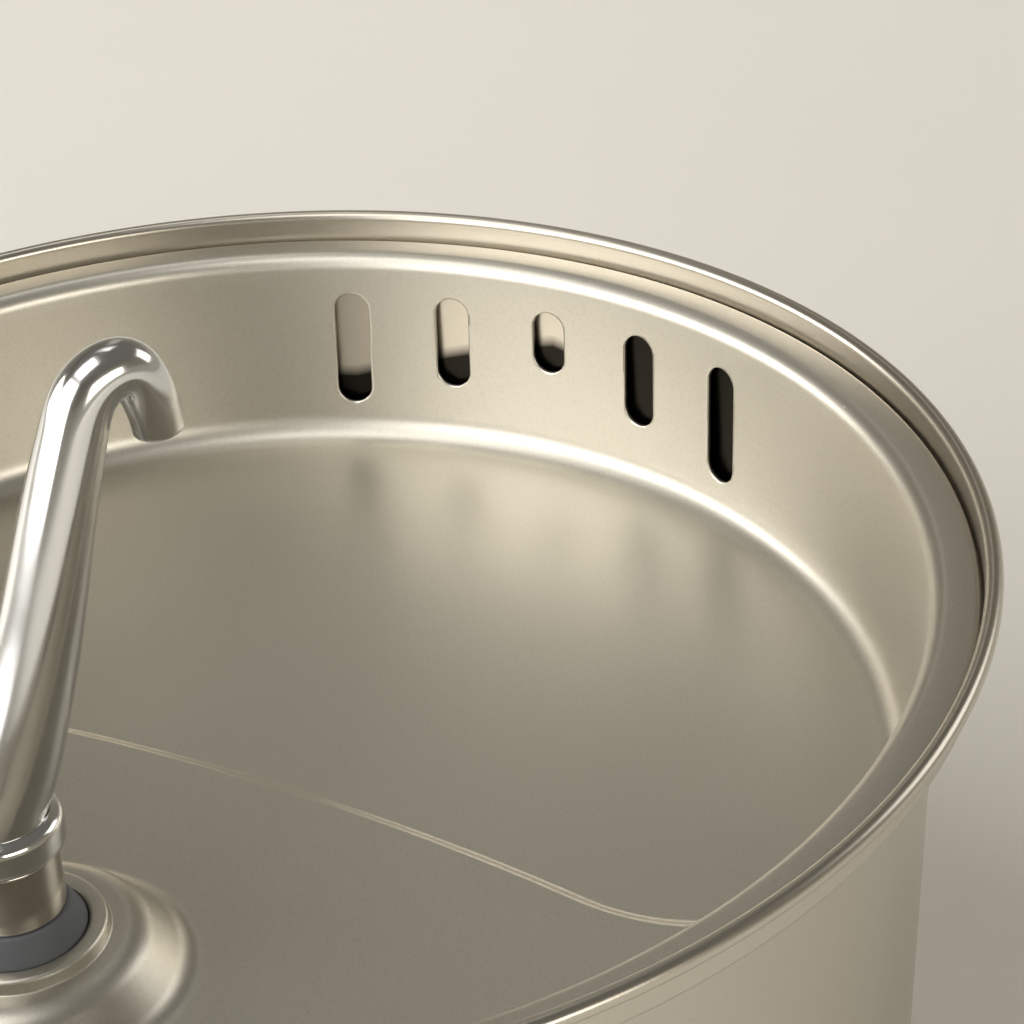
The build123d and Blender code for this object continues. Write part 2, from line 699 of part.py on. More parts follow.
with BuildPart() as cable_gland:
    with BuildSketch(across(can_y0 - gland_rim_t)):
        with Locations((-gland_x, gland_z)):
            Circle(gland_rim)
    extrude(amount=gland_rim_t)
    with BuildSketch(across(can_y0)):
        with Locations((-gland_x, gland_z)):
            Circle(gland_r)
    extrude(amount=can_wall)
    with BuildSketch(across(can_y0 - gland_rim_t)):
        with Locations((-gland_x, gland_z)):
            Circle(cord_r)
    extrude(amount=2 * gland_rim_t, mode=Mode.SUBTRACT)
cable_gland.part.label = "cable_gland"
export_step(cable_gland.part, "parts/cable_gland.step")

# ---------------------------------------------------------------- stator
core_mid = (can_y0 + face_y) / 2
with BuildPart() as stator_core:
    with BuildSketch(across(core_mid - core_len / 2)):
        with Locations((0, (yoke_z0 + core_top) / 2)):
            Rectangle(2 * core_half, core_top - yoke_z0)
        with Locations((0, (yoke_z1 + shoe_z) / 2)):
            Rectangle(2 * leg_in, shoe_z - yoke_z1, mode=Mode.SUBTRACT)
        with Locations((0, shaft_z)):
            Circle(well_r + well_wall + core_gap, mode=Mode.SUBTRACT)
        with Locations((0, (shoe_z + core_top) / 2 + 1.0)):
            Rectangle(2 * pole_slit, core_top - shoe_z + 4.0, mode=Mode.SUBTRACT)
    extrude(amount=core_len)
stator_core.part.label = "stator_core"
export_step(stator_core.part, "parts/stator_core.step")

yoke_mid = (yoke_z0 + yoke_z1) / 2
spool_y = core_len + 2 * bobbin_gap
spool_z = yoke_z1 - yoke_z0 + 2 * bobbin_gap
upright = Plane(origin=(-bobbin_half, core_mid, yoke_mid), x_dir=(0, 1, 0), z_dir=(1, 0, 0))
with BuildPart() as bobbin:
    with BuildSketch(upright):
        Rectangle(spool_y + 2 * bobbin_t, spool_z + 2 * bobbin_t)
    extrude(amount=2 * bobbin_half)
    for x in (-bobbin_half, bobbin_half - bobbin_t):
        with BuildSketch(Plane(origin=(x, core_mid, yoke_mid), x_dir=(0, 1, 0), z_dir=(1, 0, 0))):
            Rectangle(spool_y + 2 * (bobbin_t + coil_t), spool_z + 2 * (bobbin_t + coil_t))
        extrude(amount=bobbin_t)
    with BuildSketch(upright):
        Rectangle(spool_y, spool_z)
    extrude(amount=2 * bobbin_half, mode=Mode.SUBTRACT)
bobbin.part.label = "bobbin"
export_step(bobbin.part, "parts/bobbin.step")

with BuildPart() as coil:
    with BuildSketch(upright.offset(bobbin_t)):
        RectangleRounded(spool_y + 2 * (bobbin_t + coil_t), spool_z + 2 * (bobbin_t + coil_t), 1.2)
        Rectangle(spool_y + 2 * bobbin_t, spool_z + 2 * bobbin_t, mode=Mode.SUBTRACT)
    extrude(amount=2 * (bobbin_half - bobbin_t))
coil.part.label = "coil"
export_step(coil.part, "parts/coil.step")

# ---------------------------------------------------------------- pump chamber
with BuildPart() as pump_chamber:
    with BuildSketch(across(face_y)):
        with Locations((0, body_z)):
            RectangleRounded(2 * pump_half, pump_h, body_round)
    extrude(amount=chamber_len)
    with BuildSketch(Plane.XY.offset(shaft_z)):
        with Locations((0, faucet_y)):
            Circle(nozzle_r)
    extrude(amount=nozzle_top - shaft_z)
    with BuildSketch(across(face_y)):
        with Locations((0, shaft_z)):
            Circle(chamber_r)
    extrude(amount=chamber_len - chamber_front, mode=Mode.SUBTRACT)
    with BuildSketch(Plane.XY.offset(shaft_z)):
        with Locations((0, faucet_y)):
            Circle(nozzle_bore)
    extrude(amount=nozzle_top - shaft_z, mode=Mode.SUBTRACT)
    with BuildSketch(across(chamber_in - seat_len)):
        with Locations((0, shaft_z)):
            Circle(seat_r + seat_wall)
            Circle(seat_r, mode=Mode.SUBTRACT)
    extrude(amount=seat_len)
    with BuildSketch(across(chamber_y1)):
        with Locations((0, shaft_z)):
            Circle(gate_stub)
    extrude(amount=gate_t + 2 * seam)
    with BuildSketch(across(chamber_in)):
        with Locations((0, shaft_z)):
            with PolarLocations(port_ring, 3, start_angle=90):
                Circle(port_r)
    extrude(amount=chamber_front, mode=Mode.SUBTRACT)
    with BuildSketch(Plane.XY.offset(pump_z0)):
        with Locations((cup_x, cup_ys[1]), (-cup_x, cup_ys[1])):
            Circle(cup_stem_r + cup_play)
    extrude(amount=can_wall, mode=Mode.SUBTRACT)
pump_chamber.part.label = "pump_chamber"
export_step(pump_chamber.part, "parts/pump_chamber.step")

with BuildPart() as intake_cover:
    with BuildSketch(across(chamber_y1)):
        with Locations((0, shaft_z)):
            Circle(cover_r)
    extrude(amount=cover_len)
    fillet(intake_cover.edges().group_by(Axis.Y)[-1], radius=1.2)
    with BuildSketch(across(chamber_y1)):
        with Locations((0, shaft_z)):
            Circle(cover_r - cover_wall)
    extrude(amount=cover_len - cover_wall, mode=Mode.SUBTRACT)
    with BuildSketch(across(cover_y1 - 2 * cover_wall)):
        with Locations((0, shaft_z)):
            with GridLocations(3.6, 0, 5, 1):
                SlotOverall(intake_slot_len, 1.8, rotation=90)
    extrude(amount=3 * cover_wall, mode=Mode.SUBTRACT)
    # window for the finger tab of the flow gate
    with BuildSketch(across(chamber_y1)):
        with BuildLine():
            half_win = math.radians(gate_swing / 2 + 12.0)
            turn = math.radians(90.0)
            far = 1.6 * cover_r
            p0 = (0, shaft_z)
            p1 = (far * math.cos(turn + half_win), shaft_z + far * math.sin(turn + half_win))
            p2 = (far * math.cos(turn - half_win), shaft_z + far * math.sin(turn - half_win))
            Line(p0, p1)
            Line(p1, p2)
            Line(p2, p0)
        make_face()
        with Locations((0, shaft_z)):
            Circle(gate_r, mode=Mode.SUBTRACT)
    extrude(amount=gate_t + 3 * seam, mode=Mode.SUBTRACT)
intake_cover.part.label = "intake_cover"
export_step(intake_cover.part, "parts/intake_cover.step")

# flow gate, drawn with its ports over the intake ports
gate_rest = 90.0 + gate_swing / 2
with BuildPart() as flow_gate:
    with BuildSketch(across(chamber_y1 + seam)):
        with Locations((0, shaft_z)):
            Circle(gate_r)
            with PolarLocations(0.0, 1, start_angle=gate_rest):
                with Locations((gate_r + 2.4, 0)):
                    Rectangle(7.0, gate_tab_w)
            Circle(gate_stub + run_clear, mode=Mode.SUBTRACT)
            with PolarLocations(port_ring, 3, start_angle=90):
                Circle(port_r, mode=Mode.SUBTRACT)
    extrude(amount=gate_t)
flow_gate.part.label = "flow_gate"
export_step(flow_gate.part, "parts/flow_gate.step")

# ---------------------------------------------------------------- rotor
magnet_y0 = well_end + seat_len + end_play
magnet_y1 = face_y - magnet_back
hub_y1 = chamber_in - seat_len - end_play
disc_y0 = face_y + 0.8
with BuildPart() as rotor_magnet:
    with BuildSketch(across(magnet_y0)):
        with Locations((0, shaft_z)):
            Circle(magnet_r)
            Circle(shaft_r + run_clear, mode=Mode.SUBTRACT)
    extrude(amount=magnet_y1 - magnet_y0)
rotor_magnet.part.label = "rotor_magnet"
export_step(rotor_magnet.part, "parts/rotor_magnet.step")

with BuildPart() as impeller:
    with BuildSketch(across(magnet_y1)):
        with Locations((0, shaft_z)):
            Circle(hub_r)
    extrude(amount=hub_y1 - magnet_y1)
    with BuildSketch(across(disc_y0)):
        with Locations((0, shaft_z)):
            Circle(blade_r - 2.0)
    extrude(amount=blade_disc)
    with BuildSketch(across(disc_y0 + blade_disc)):
        with Locations((0, shaft_z)):
            with PolarLocations(0.0, blades, start_angle=15):
                with Locations((blade_r / 2, 0)):
                    Rectangle(blade_r, blade_t)
    extrude(amount=blade_w)
    with BuildSketch(across(magnet_y1)):
        with Locations((0, shaft_z)):
            Circle(shaft_r + run_clear)
    extrude(amount=hub_y1 - magnet_y1, mode=Mode.SUBTRACT)
impeller.part.label = "impeller"
export_step(impeller.part, "parts/impeller.step")

shaft_y0 = well_end + 0.2
shaft_y1 = chamber_in - 0.2
with BuildPart() as rotor_shaft:
    with BuildSketch(across(shaft_y0)):
        with Locations((0, shaft_z)):
            Circle(shaft_r)
    extrude(amount=shaft_y1 - shaft_y0)
rotor_shaft.part.label = "rotor_shaft"
export_step(rotor_shaft.part, "parts/rotor_shaft.step")

with BuildPart() as shaft_seats:
    for y in (well_end, chamber_in - seat_len):
        with BuildSketch(across(y)):
            with Locations((0, shaft_z)):
                Circle(seat_r)
                Circle(shaft_r, mode=Mode.SUBTRACT)
        extrude(amount=seat_len)
shaft_seats.part.label = "shaft_seats"
export_step(shaft_seats.part, "parts/shaft_seats.step")

# ---------------------------------------------------------------- suction cups
cup_z0 = box_z0 + box_floor
with BuildPart() as suction_cups:
    for y in cup_ys:
        for x in (-cup_x, cup_x):
            with BuildSketch(Plane(origin=(x, y, 0), x_dir=(1, 0, 0), z_dir=(0, -1, 0))):
                with BuildLine():
                    closed_line([
                        (0, cup_z0 + 1.6, 0),
                        (2.6, cup_z0 + 1.2, 0),
                        (cup_foot_r - 0.6, cup_z0, 0),
                        (cup_foot_r, cup_z0, 0),
                        (cup_foot_r, cup_z0 + 0.5, 0),
                        (cup_stem_r + 0.6, pump_z0 - 1.4, 0),
                        (cup_stem_r + 0.6, pump_z0, 0),
                        (cup_stem_r, pump_z0, 0),
                        (cup_stem_r, pump_z0 + cup_stem_len, 0),
                        (0, pump_z0 + cup_stem_len, 0),
                    ])
                make_face()
            revolve(axis=Axis((x, y, 0), (0, 0, 1)))
suction_cups.part.label = "suction_cups"
export_step(suction_cups.part, "parts/suction_cups.step")

# ---------------------------------------------------------------- foam block
with BuildPart() as foam_block:
    with BuildSketch(across(chamber_y1 + gate_t + 2 * seam)):
        with Locations((0, foam_z0 + foam_h / 2)):
            RectangleRounded(2 * foam_half, foam_h, foam_round)
    extrude(amount=foam_front)
    with BuildSketch(across(chamber_y1)):
        with Locations((0, shaft_z)):
            Circle(cover_r + 0.1)
    extrude(amount=cover_len + 0.2, mode=Mode.SUBTRACT)
foam_block.part.label = "foam_block"
export_step(foam_block.part, "parts/foam_block.step")

# ---------------------------------------------------------------- filter box
with BuildPart() as filter_box:
    with BuildSketch(Plane.XY.offset(box_z0)):
        with Locations((0, faucet_y)):
            Circle(box_r)
    extrude(amount=box_h)
    fillet(filter_box.edges().group_by(Axis.Z)[0], radius=box_corner)
    with BuildSketch(Plane.XY.offset(box_z0 + box_floor)):
        with Locations((0, faucet_y)):
            Circle(box_in_r)
    extrude(amount=box_h, mode=Mode.SUBTRACT)
    with BuildSketch(across(faucet_y - box_r - 5.0)):
        with Locations((0, lid_z - box_notch_h / 2 + 2.0)):
            SlotOverall(box_notch_h + 4.0, box_notch_w, rotation=90)
    extrude(amount=20.0, mode=Mode.SUBTRACT)
filter_box.part.label = "filter_box"
export_step(filter_box.part, "parts/filter_box.step")

lid_r = box_r + fit + lid_wall
with BuildPart() as box_lid:
    with BuildSketch(Plane.XY.offset(lid_z)):
        with Locations((0, faucet_y)):
            Circle(lid_r)
    extrude(amount=lid_floor)
    with BuildSketch(Plane.XY.offset(lid_z - lid_skirt)):
        with Locations((0, faucet_y)):
            Circle(lid_r)
            Circle(box_r + fit, mode=Mode.SUBTRACT)
    extrude(amount=lid_skirt)
    with BuildSketch(Plane.XY.offset(cart_z)):
        with Locations((0, faucet_y)):
            Circle(pan_r + pan_wall)
            Circle(pan_r, mode=Mode.SUBTRACT)
    extrude(amount=pan_h)
    with BuildSketch(Plane.XY.offset(cart_z)):
        with Locations((0, faucet_y)):
            Circle(chimney_r + chimney_wall)
    extrude(amount=chimney_h)
    with BuildSketch(Plane.XY.offset(lid_z)):
        with Locations((0, faucet_y)):
            Circle(chimney_r)
            with PolarLocations(16.5, pan_ports):
                Circle(pan_port_r)
            with PolarLocations(28.5, pan_ports, start_angle=18):
                Circle(pan_port_r)
    extrude(amount=lid_floor + chimney_h, mode=Mode.SUBTRACT)
box_lid.part.label = "box_lid"
export_step(box_lid.part, "parts/box_lid.step")

# ---------------------------------------------------------------- filter cartridge
with BuildPart() as cartridge_shell:
    with BuildSketch(Plane.XY.offset(cart_z)):
        with Locations((0, faucet_y)):
            Circle(cart_r)
            Circle(cart_hole, mode=Mode.SUBTRACT)
    extrude(amount=cart_h)
    with BuildSketch(Plane.XY.offset(cart_z + cart_floor)):
        with Locations((0, faucet_y)):
            Circle(cart_r - cart_wall)
            Circle(cart_hole + cart_wall, mode=Mode.SUBTRACT)
    extrude(amount=cart_h, mode=Mode.SUBTRACT)
    with BuildSketch(Plane.XY.offset(cart_z)):
        with Locations((0, faucet_y)):
            with PolarLocations(16.5, 16):
                Circle(1.6)
            with PolarLocations(23.0, 22):
                Circle(1.6)
            with PolarLocations(29.5, 28):
                Circle(1.6)
    extrude(amount=cart_floor, mode=Mode.SUBTRACT)
cartridge_shell.part.label = "cartridge_shell"
export_step(cartridge_shell.part, "parts/cartridge_shell.step")

layer_out = cart_r - cart_wall - fit
layer_in = cart_hole + cart_wall + fit
with BuildPart() as carbon_bed:
    with BuildSketch(Plane.XY.offset(cart_z + cart_floor)):
        with Locations((0, faucet_y)):
            Circle(layer_out)
            Circle(layer_in, mode=Mode.SUBTRACT)
    extrude(amount=carbon_h)
carbon_bed.part.label = "carbon_bed"
export_step(carbon_bed.part, "parts/carbon_bed.step")

with BuildPart() as cotton_pad:
    with BuildSketch(Plane.XY.offset(cart_z + cart_floor + carbon_h)):
        with Locations((0, faucet_y)):
            Circle(layer_out)
            Circle(layer_in, mode=Mode.SUBTRACT)
    extrude(amount=cotton_h)
cotton_pad.part.label = "cotton_pad"
export_step(cotton_pad.part, "parts/cotton_pad.step")

with BuildPart() as mesh_cap:
    with BuildSketch(Plane.XY.offset(cart_z + cart_h - cap_h)):
        with Locations((0, faucet_y)):
            Circle(layer_out)
            Circle(layer_in, mode=Mode.SUBTRACT)
            with PolarLocations(16.5, 16):
                Circle(1.8, mode=Mode.SUBTRACT)
            with PolarLocations(23.0, 22):
                Circle(1.8, mode=Mode.SUBTRACT)
            with PolarLocations(29.5, 28):
                Circle(1.8, mode=Mode.SUBTRACT)
    extrude(amount=cap_h)
mesh_cap.part.label = "mesh_cap"
export_step(mesh_cap.part, "parts/mesh_cap.step")
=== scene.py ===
import json
import math
import bmesh
import bpy
import numpy as np
from mathutils import Matrix, Vector


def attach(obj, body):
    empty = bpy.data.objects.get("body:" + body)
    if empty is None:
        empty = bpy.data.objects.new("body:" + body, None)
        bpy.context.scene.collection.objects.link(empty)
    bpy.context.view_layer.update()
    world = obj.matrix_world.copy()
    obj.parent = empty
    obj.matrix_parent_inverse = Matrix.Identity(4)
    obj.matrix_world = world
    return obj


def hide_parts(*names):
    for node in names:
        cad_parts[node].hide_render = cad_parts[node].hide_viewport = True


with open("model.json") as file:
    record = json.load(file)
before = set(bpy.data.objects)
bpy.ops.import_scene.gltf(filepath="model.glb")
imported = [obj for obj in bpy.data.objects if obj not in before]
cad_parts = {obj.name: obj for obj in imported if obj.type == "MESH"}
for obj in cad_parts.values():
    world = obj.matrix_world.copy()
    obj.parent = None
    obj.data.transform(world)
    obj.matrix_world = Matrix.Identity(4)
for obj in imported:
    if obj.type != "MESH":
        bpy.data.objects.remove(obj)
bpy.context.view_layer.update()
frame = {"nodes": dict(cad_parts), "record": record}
mm = 0.001

# ---------------------------------------------------------------- sizes, in millimetres
# They are those of the CAD part, apart from the ones marked with an asterisk, which only this script has.
sheet = 0.6                  # gauge of the drawn steel
run_clear = 0.05             # radial clearance of a turning fit
seam = 0.3                   # gap between two pieces that move apart

# tank
ring_h = 2.5                 # height of the anti-slip ring
rim_z = 110.8                # height of the bead's centre
rim_r = 105.0                # outermost radius of the rolled rim
bead_r = 1.2                 # radius of the rolled bead
ledge_w = 6.1                # width of the ledge that carries the tray
ledge_bend = 2.0             # outside radius where the ledge turns down into the wall
wall_taper = 5.5             # how much the wall closes in towards the bottom
tank_foot_fillet = 5.0       # inner corner radius at the bottom
bend_small = 0.35            # tightest inside bend of the sheet
outlet_z = 67.0              # height of the cord outlet
outlet_hole_r = 5.0          # its hole in the wall

# tray
rim_gap = 0.4                # clearance between the tray and the tank's collar
flange_drop = 3.0            # flange below the bead's centre
skirt_h = 2.0                # height of the flange's turned-down edge
skirt_bend = 1.0             # outside bend of that edge
flange_w = 6.6               # width of the flange
wall_bend = 2.6              # rounding between flange and wall
flange_band = 5.0            # height of the rim that is formed apart from the basin
draft = math.radians(5.0)    # slope of the wall
basin_drop = 34.7            # basin floor below the bead's centre
floor_fillet = 4.5           # rounding between wall and floor
deck_rise = 1.6              # faucet deck above the basin floor
step_run = 3.0               # * width of the slope between them, a sharp step in the CAD part
deck_edge_gap = 26.0         # from the foot of the boss to the front of the deck
deck_edge_curve = 357.0      # radius of the deck's gently bowed front edge
deck_corner = 31.0           # radius where that edge sweeps into the side
deck_corner_gap = 5.0        # from that sweep to the wall
slot_half_w = 2.8            # half width of a drain slot
slot_drop = 9.4              # top of the drain slots below the bead's centre
slot_pitch = math.radians(10.3)
slot_lengths = (19.2, 15.4, 10.4, 15.4, 19.2)

# boss and grommet
boss_r = 21.5                # foot of the boss
boss_h = 8.4                 # lip of the boss above the deck
boss_shoulder = 6.6          # its shoulder above the deck
boss_lip_r = 11.4            # outer radius of the lip
boss_hole_r = 8.9            # hole in the boss
boss_hem = 2.4               # turned-down edge inside the hole
boss_lap = 4.0               # * how far the boss's flat lies over the deck
boss_lift = 0.01             # * how far it lies above it
boss_cut = 1.2               # * the tray sheet is cut away this far past the foot of the boss
grommet_slack = 0.1          # play of the grommet in the hole
grommet_top_r = 7.1          # top of the grommet, under the collar
grommet_lip = 0.2            # its shoulder below the lip of the boss
grommet_flange_r = 13.0      # its flange under the boss
grommet_flange_h = 2.5       # thickness of that flange
grommet_round = 0.6          # its roundings

# faucet, which stands over the middle of the pump's filter box
box_wall_gap = 1.5           # from the pump's filter box to the tank wall
box_r = 41.0                 # radius of the filter box
collar_r = 6.8               # radius of the collar
collar_drop = 21.4           # foot of the collar below the bead's centre
collar_h = 9.0               # height of the collar
socket_depth = 14.0          # depth of the spigot socket in the collar
shank_r = 5.8                # threaded shank
shank_len = 20.4
shank_bore = 3.2             # water way in the shank
barb_len = 8.0               # hose barb
barb_bore = 2.6              # water way in the barb
barb_ridge = 0.3             # height of a barb ridge
hose_bore_r = 4.0            # inside of the hose that is pushed on
sleeve_r = 5.7               # sleeve under the ferrule that turns in the collar
sleeve_len = 3.0
ferrule_h = 5.4              # height of the ferrule above the collar
ferrule_r = 8.2              # widest radius of the ferrule
spigot_r = 4.6               # straight lower end of the gooseneck
neck_bore_r = 3.9            # inside of the gooseneck at its lower end
neck_r_low = 6.7             # gooseneck just above the ferrule
neck_r_end = 3.1             # gooseneck at the outlet
tube_wall = 0.7              # wall of the gooseneck
spout_turn = math.radians(30)    # heading of the gooseneck, from +Y towards +X
neck_points = ((0, 0), (2.1, 5.0), (4.8, 10.8), (7.3, 17.0), (10.1, 24.6), (12.8, 32.6), (15.4, 40.2),
               (18.2, 47.8), (21.8, 53.2), (25.4, 53.8), (27.8, 50.2), (28.7, 44.2))
neck_end_run = 0.06          # outward lean of the outlet

# derived
collar_in = rim_r - 2 * bead_r
ledge_r = collar_in - ledge_w
tank_foot_r = ledge_r - wall_taper
flange_z = rim_z - flange_drop
flange_r = collar_in - rim_gap
ledge_z = flange_z - skirt_h
tray_wall_r = flange_r - flange_w
basin_z = rim_z - basin_drop
deck_z = basin_z + deck_rise
slot_top = rim_z - slot_drop
faucet_y = -(tank_foot_r - box_wall_gap - box_r)
deck_edge_y = faucet_y + boss_r + deck_edge_gap
lip_z = deck_z + boss_h
hem_foot = lip_z - boss_hem
collar_foot = rim_z - collar_drop
collar_top = collar_foot + collar_h
socket_floor = collar_top - socket_depth
shank_foot = collar_foot - shank_len
barb_foot = shank_foot - barb_len
neck_foot = collar_top + ferrule_h


# ---------------------------------------------------------------- node material helpers
class Nodes:
    """Short names for building one node material, in object coordinates."""

    def __init__(self, name):
        self.material = bpy.data.materials.new(name)
        self.material.use_nodes = True
        self.tree = self.material.node_tree
        self.tree.nodes.clear()
        self.output = self.add("ShaderNodeOutputMaterial")
        self.shader = self.add("ShaderNodeBsdfPrincipled")
        self.link(self.shader.outputs[0], self.output.inputs["Surface"])

    def add(self, kind, **values):
        node = self.tree.nodes.new(kind)
        for key, value in values.items():
            setattr(node, key, value)
        return node

    def link(self, a, b):
        self.tree.links.new(a, b)

    def coords(self):
        return self.add("ShaderNodeTexCoord").outputs["Object"]

    def mapped(self, scale):
        """Coordinates multiplied by scale."""
        node = self.add("ShaderNodeMapping")
        node.inputs["Scale"].default_value = scale
        self.link(self.coords(), node.inputs["Vector"])
        return node.outputs["Vector"]

    def noise(self, scale, detail=4.0, rough=0.5, vector=None):
        node = self.add("ShaderNodeTexNoise")
        node.inputs["Scale"].default_value = scale
        node.inputs["Detail"].default_value = detail
        node.inputs["Roughness"].default_value = rough
        self.link(vector or self.coords(), node.inputs["Vector"])
        return node.outputs["Fac"]

    def cells(self, scale):
        """Distance to the nearest of many scattered points."""
        node = self.add("ShaderNodeTexVoronoi")
        node.inputs["Scale"].default_value = scale
        self.link(self.coords(), node.inputs["Vector"])
        return node.outputs["Distance"]

    def spread(self, value, low, high, a, b):
        """Remaps value from low..high to a..b."""
        node = self.add("ShaderNodeMapRange")
        node.inputs["From Min"].default_value = low
        node.inputs["From Max"].default_value = high
        node.inputs["To Min"].default_value = a
        node.inputs["To Max"].default_value = b
        self.link(value, node.inputs["Value"])
        return node.outputs["Result"]

    def ramp(self, value, dark, light, low=0.3, high=0.7):
        """Colour from dark at low to light at high."""
        node = self.add("ShaderNodeValToRGB")
        for element, at, colour in zip(node.color_ramp.elements, (low, high), (dark, light)):
            element.position = at
            element.color = (*colour, 1.0)
        self.link(value, node.inputs["Fac"])
        return node.outputs["Color"]

    def math(self, operation, a, b=0.5):
        node = self.add("ShaderNodeMath", operation=operation)
        for socket, value in zip(node.inputs, (a, b)):
            if isinstance(value, (int, float)):
                socket.default_value = value
            else:
                self.link(value, socket)
        return node.outputs[0]

    def bump(self, height, strength, distance):
        node = self.add("ShaderNodeBump")
        node.inputs["Strength"].default_value = strength
        node.inputs["Distance"].default_value = distance
        self.link(height, node.inputs["Height"])
        self.link(node.outputs["Normal"], self.shader.inputs["Normal"])

    def set(self, **values):
        names = {"colour": "Base Color", "metal": "Metallic", "rough": "Roughness", "ior": "IOR",
                 "coat": "Coat Weight", "coat_rough": "Coat Roughness", "transmission": "Transmission Weight"}
        for key, value in values.items():
            socket = self.shader.inputs[names[key]]
            if isinstance(value, (int, float)):
                socket.default_value = value
            elif isinstance(value, tuple):
                socket.default_value = (*value, 1.0)
            else:
                self.link(value, socket)


def shades(tone, down, up):
    """A darker and a lighter tone beside this one."""
    return tuple(c * down for c in tone), tuple(min(1.0, c * up) for c in tone)


# ---------------------------------------------------------------- materials
def gap_shade(n, colour):
    """Paints shade on the tank's inside behind the drain slots, where they look into the closed gap.

    The gap is narrower here than in the real fountain, so the shade it would hold is painted into the wall's colour.
    The painted shade lies below a line that falls away on both sides of the middle slot, and over everything beyond
    the middle slot on the +X side.
    """
    # colour of the painted shade in the gap behind the slots
    gap_shade_tone = (0.020, 0.018, 0.015)
    line_drop = 5.9              # the line below the top of the slots, at the middle slot, mm
    line_fall = 25.0             # how far it falls for each radian of turn, mm
    line_soft = (-0.6, 1.6)      # the fade across the line, mm
    side_soft = (0.07, 0.13)     # the fade into the +X side, radians
    end_soft = (0.43, 0.55)      # the fade past the outermost slots, radians
    top_soft = (ledge_z - 3.0, ledge_z - 1.0)
    foot_soft = (basin_z - 4.0, basin_z + 3.0)

    split = n.add("ShaderNodeSeparateXYZ")
    n.link(n.coords(), split.inputs[0])
    x, y, z = split.outputs
    turn = n.math("ARCTAN2", x, y)
    swing = n.math("MINIMUM", n.math("ABSOLUTE", turn), 2 * slot_pitch)
    line = n.math("SUBTRACT", (slot_top - line_drop) * mm, n.math("MULTIPLY", swing, line_fall * mm))
    low = n.spread(n.math("SUBTRACT", z, line), line_soft[0] * mm, line_soft[1] * mm, 1.0, 0.0)
    side = n.spread(turn, *side_soft, 0.0, 1.0)
    behind = n.spread(n.math("ABSOLUTE", turn), *end_soft, 1.0, 0.0)
    band = n.math("MULTIPLY", n.spread(z, top_soft[0] * mm, top_soft[1] * mm, 1.0, 0.0),
                  n.spread(z, foot_soft[0] * mm, foot_soft[1] * mm, 0.0, 1.0))
    # how strongly the painted shade covers the wall
    dark = n.math("MULTIPLY", n.math("MAXIMUM", low, side), n.math("MULTIPLY", behind, band))
    radius = n.math("SQRT", n.math("ADD", n.math("MULTIPLY", x, x), n.math("MULTIPLY", y, y)))
    lean = (ledge_r - tank_foot_r) / (ledge_z - ring_h)
    wall = n.math("ADD", n.math("MULTIPLY", z, lean), (ledge_r - lean * ledge_z + sheet / 2) * mm)
    inside = n.math("LESS_THAN", radius, wall)
    mix = n.add("ShaderNodeMix", data_type="RGBA")
    mix.inputs["B"].default_value = (*gap_shade_tone, 1.0)
    n.link(n.math("MULTIPLY", dark, inside), mix.inputs["Factor"])
    n.link(colour, mix.inputs["A"])
    return mix.outputs["Result"]


def steel(name, tone, rough, grain, dust, speckle=0.0, shade=None):
    """Satin stainless sheet: fine grain, dark speckle, faint clouds and wipe marks, and dust.

    rough is the mean roughness and grain the strength of the grain's bump; dust and speckle say how strongly each
    shows; shade, if given, is a function that paints shade into the colour in places.
    """
    grain_scale, grain_depth = 2600.0, 0.000014
    cloud_scale, wipe_scale = 14.0, 60.0
    wipe_stretch = (1.0, 0.25, 1.0)
    speckle_scale, speckle_tone = 2300.0, 0.62
    dust_scale, dust_patch_scale = 420.0, 35.0
    dust_tone = (0.80, 0.78, 0.73)
    dust_cover, dust_rough = 0.5, 0.3
    cloud_rough, wipe_rough = 0.012, 0.006

    n = Nodes(name)
    fine = n.noise(grain_scale, detail=2.0, rough=0.6)
    cloud = n.noise(cloud_scale, detail=3.0, rough=0.5)
    wipe = n.noise(wipe_scale, detail=4.0, rough=0.6, vector=n.mapped(wipe_stretch))
    speck = n.spread(n.cells(dust_scale), 0.05, 0.11, 1.0, 0.0)
    thin = n.spread(n.noise(dust_patch_scale, detail=3.0), 0.50, 0.62, 0.0, dust)
    dusty = n.math("MULTIPLY", speck, thin)
    speckled = n.add("ShaderNodeMix", data_type="RGBA")
    speckled.inputs["B"].default_value = (*(c * speckle_tone for c in tone), 1.0)
    dots = n.noise(speckle_scale, detail=2.0, rough=0.6)
    n.link(n.spread(dots, 0.48, 0.72, 0.0, speckle), speckled.inputs["Factor"])
    n.link(n.ramp(cloud, *shades(tone, 0.97, 1.02)), speckled.inputs["A"])
    mix = n.add("ShaderNodeMix", data_type="RGBA")
    mix.inputs["B"].default_value = (*dust_tone, 1.0)
    n.link(n.math("MULTIPLY", dusty, dust_cover), mix.inputs["Factor"])
    n.link(speckled.outputs["Result"], mix.inputs["A"])
    uneven = n.math("ADD", n.spread(cloud, 0.3, 0.7, -cloud_rough, cloud_rough),
                    n.spread(wipe, 0.35, 0.65, -wipe_rough, wipe_rough))
    colour = shade(n, mix.outputs["Result"]) if shade else mix.outputs["Result"]
    n.set(colour=colour, metal=1.0,
          rough=n.math("ADD", n.math("ADD", uneven, n.math("MULTIPLY", dusty, dust_rough)), rough))
    n.bump(fine, grain, grain_depth)
    return n.material


def chrome():
    """Bright plating with a faint haze."""
    n = Nodes("faucet_chrome")
    haze = n.noise(60.0, detail=5.0)
    fine = n.noise(900.0, detail=2.0)
    n.set(colour=n.ramp(haze, (0.70, 0.70, 0.70), (0.78, 0.78, 0.77)), metal=1.0,
          rough=n.spread(haze, 0.35, 0.65, 0.11, 0.17))
    n.bump(fine, 0.06, 0.00002)
    return n.material


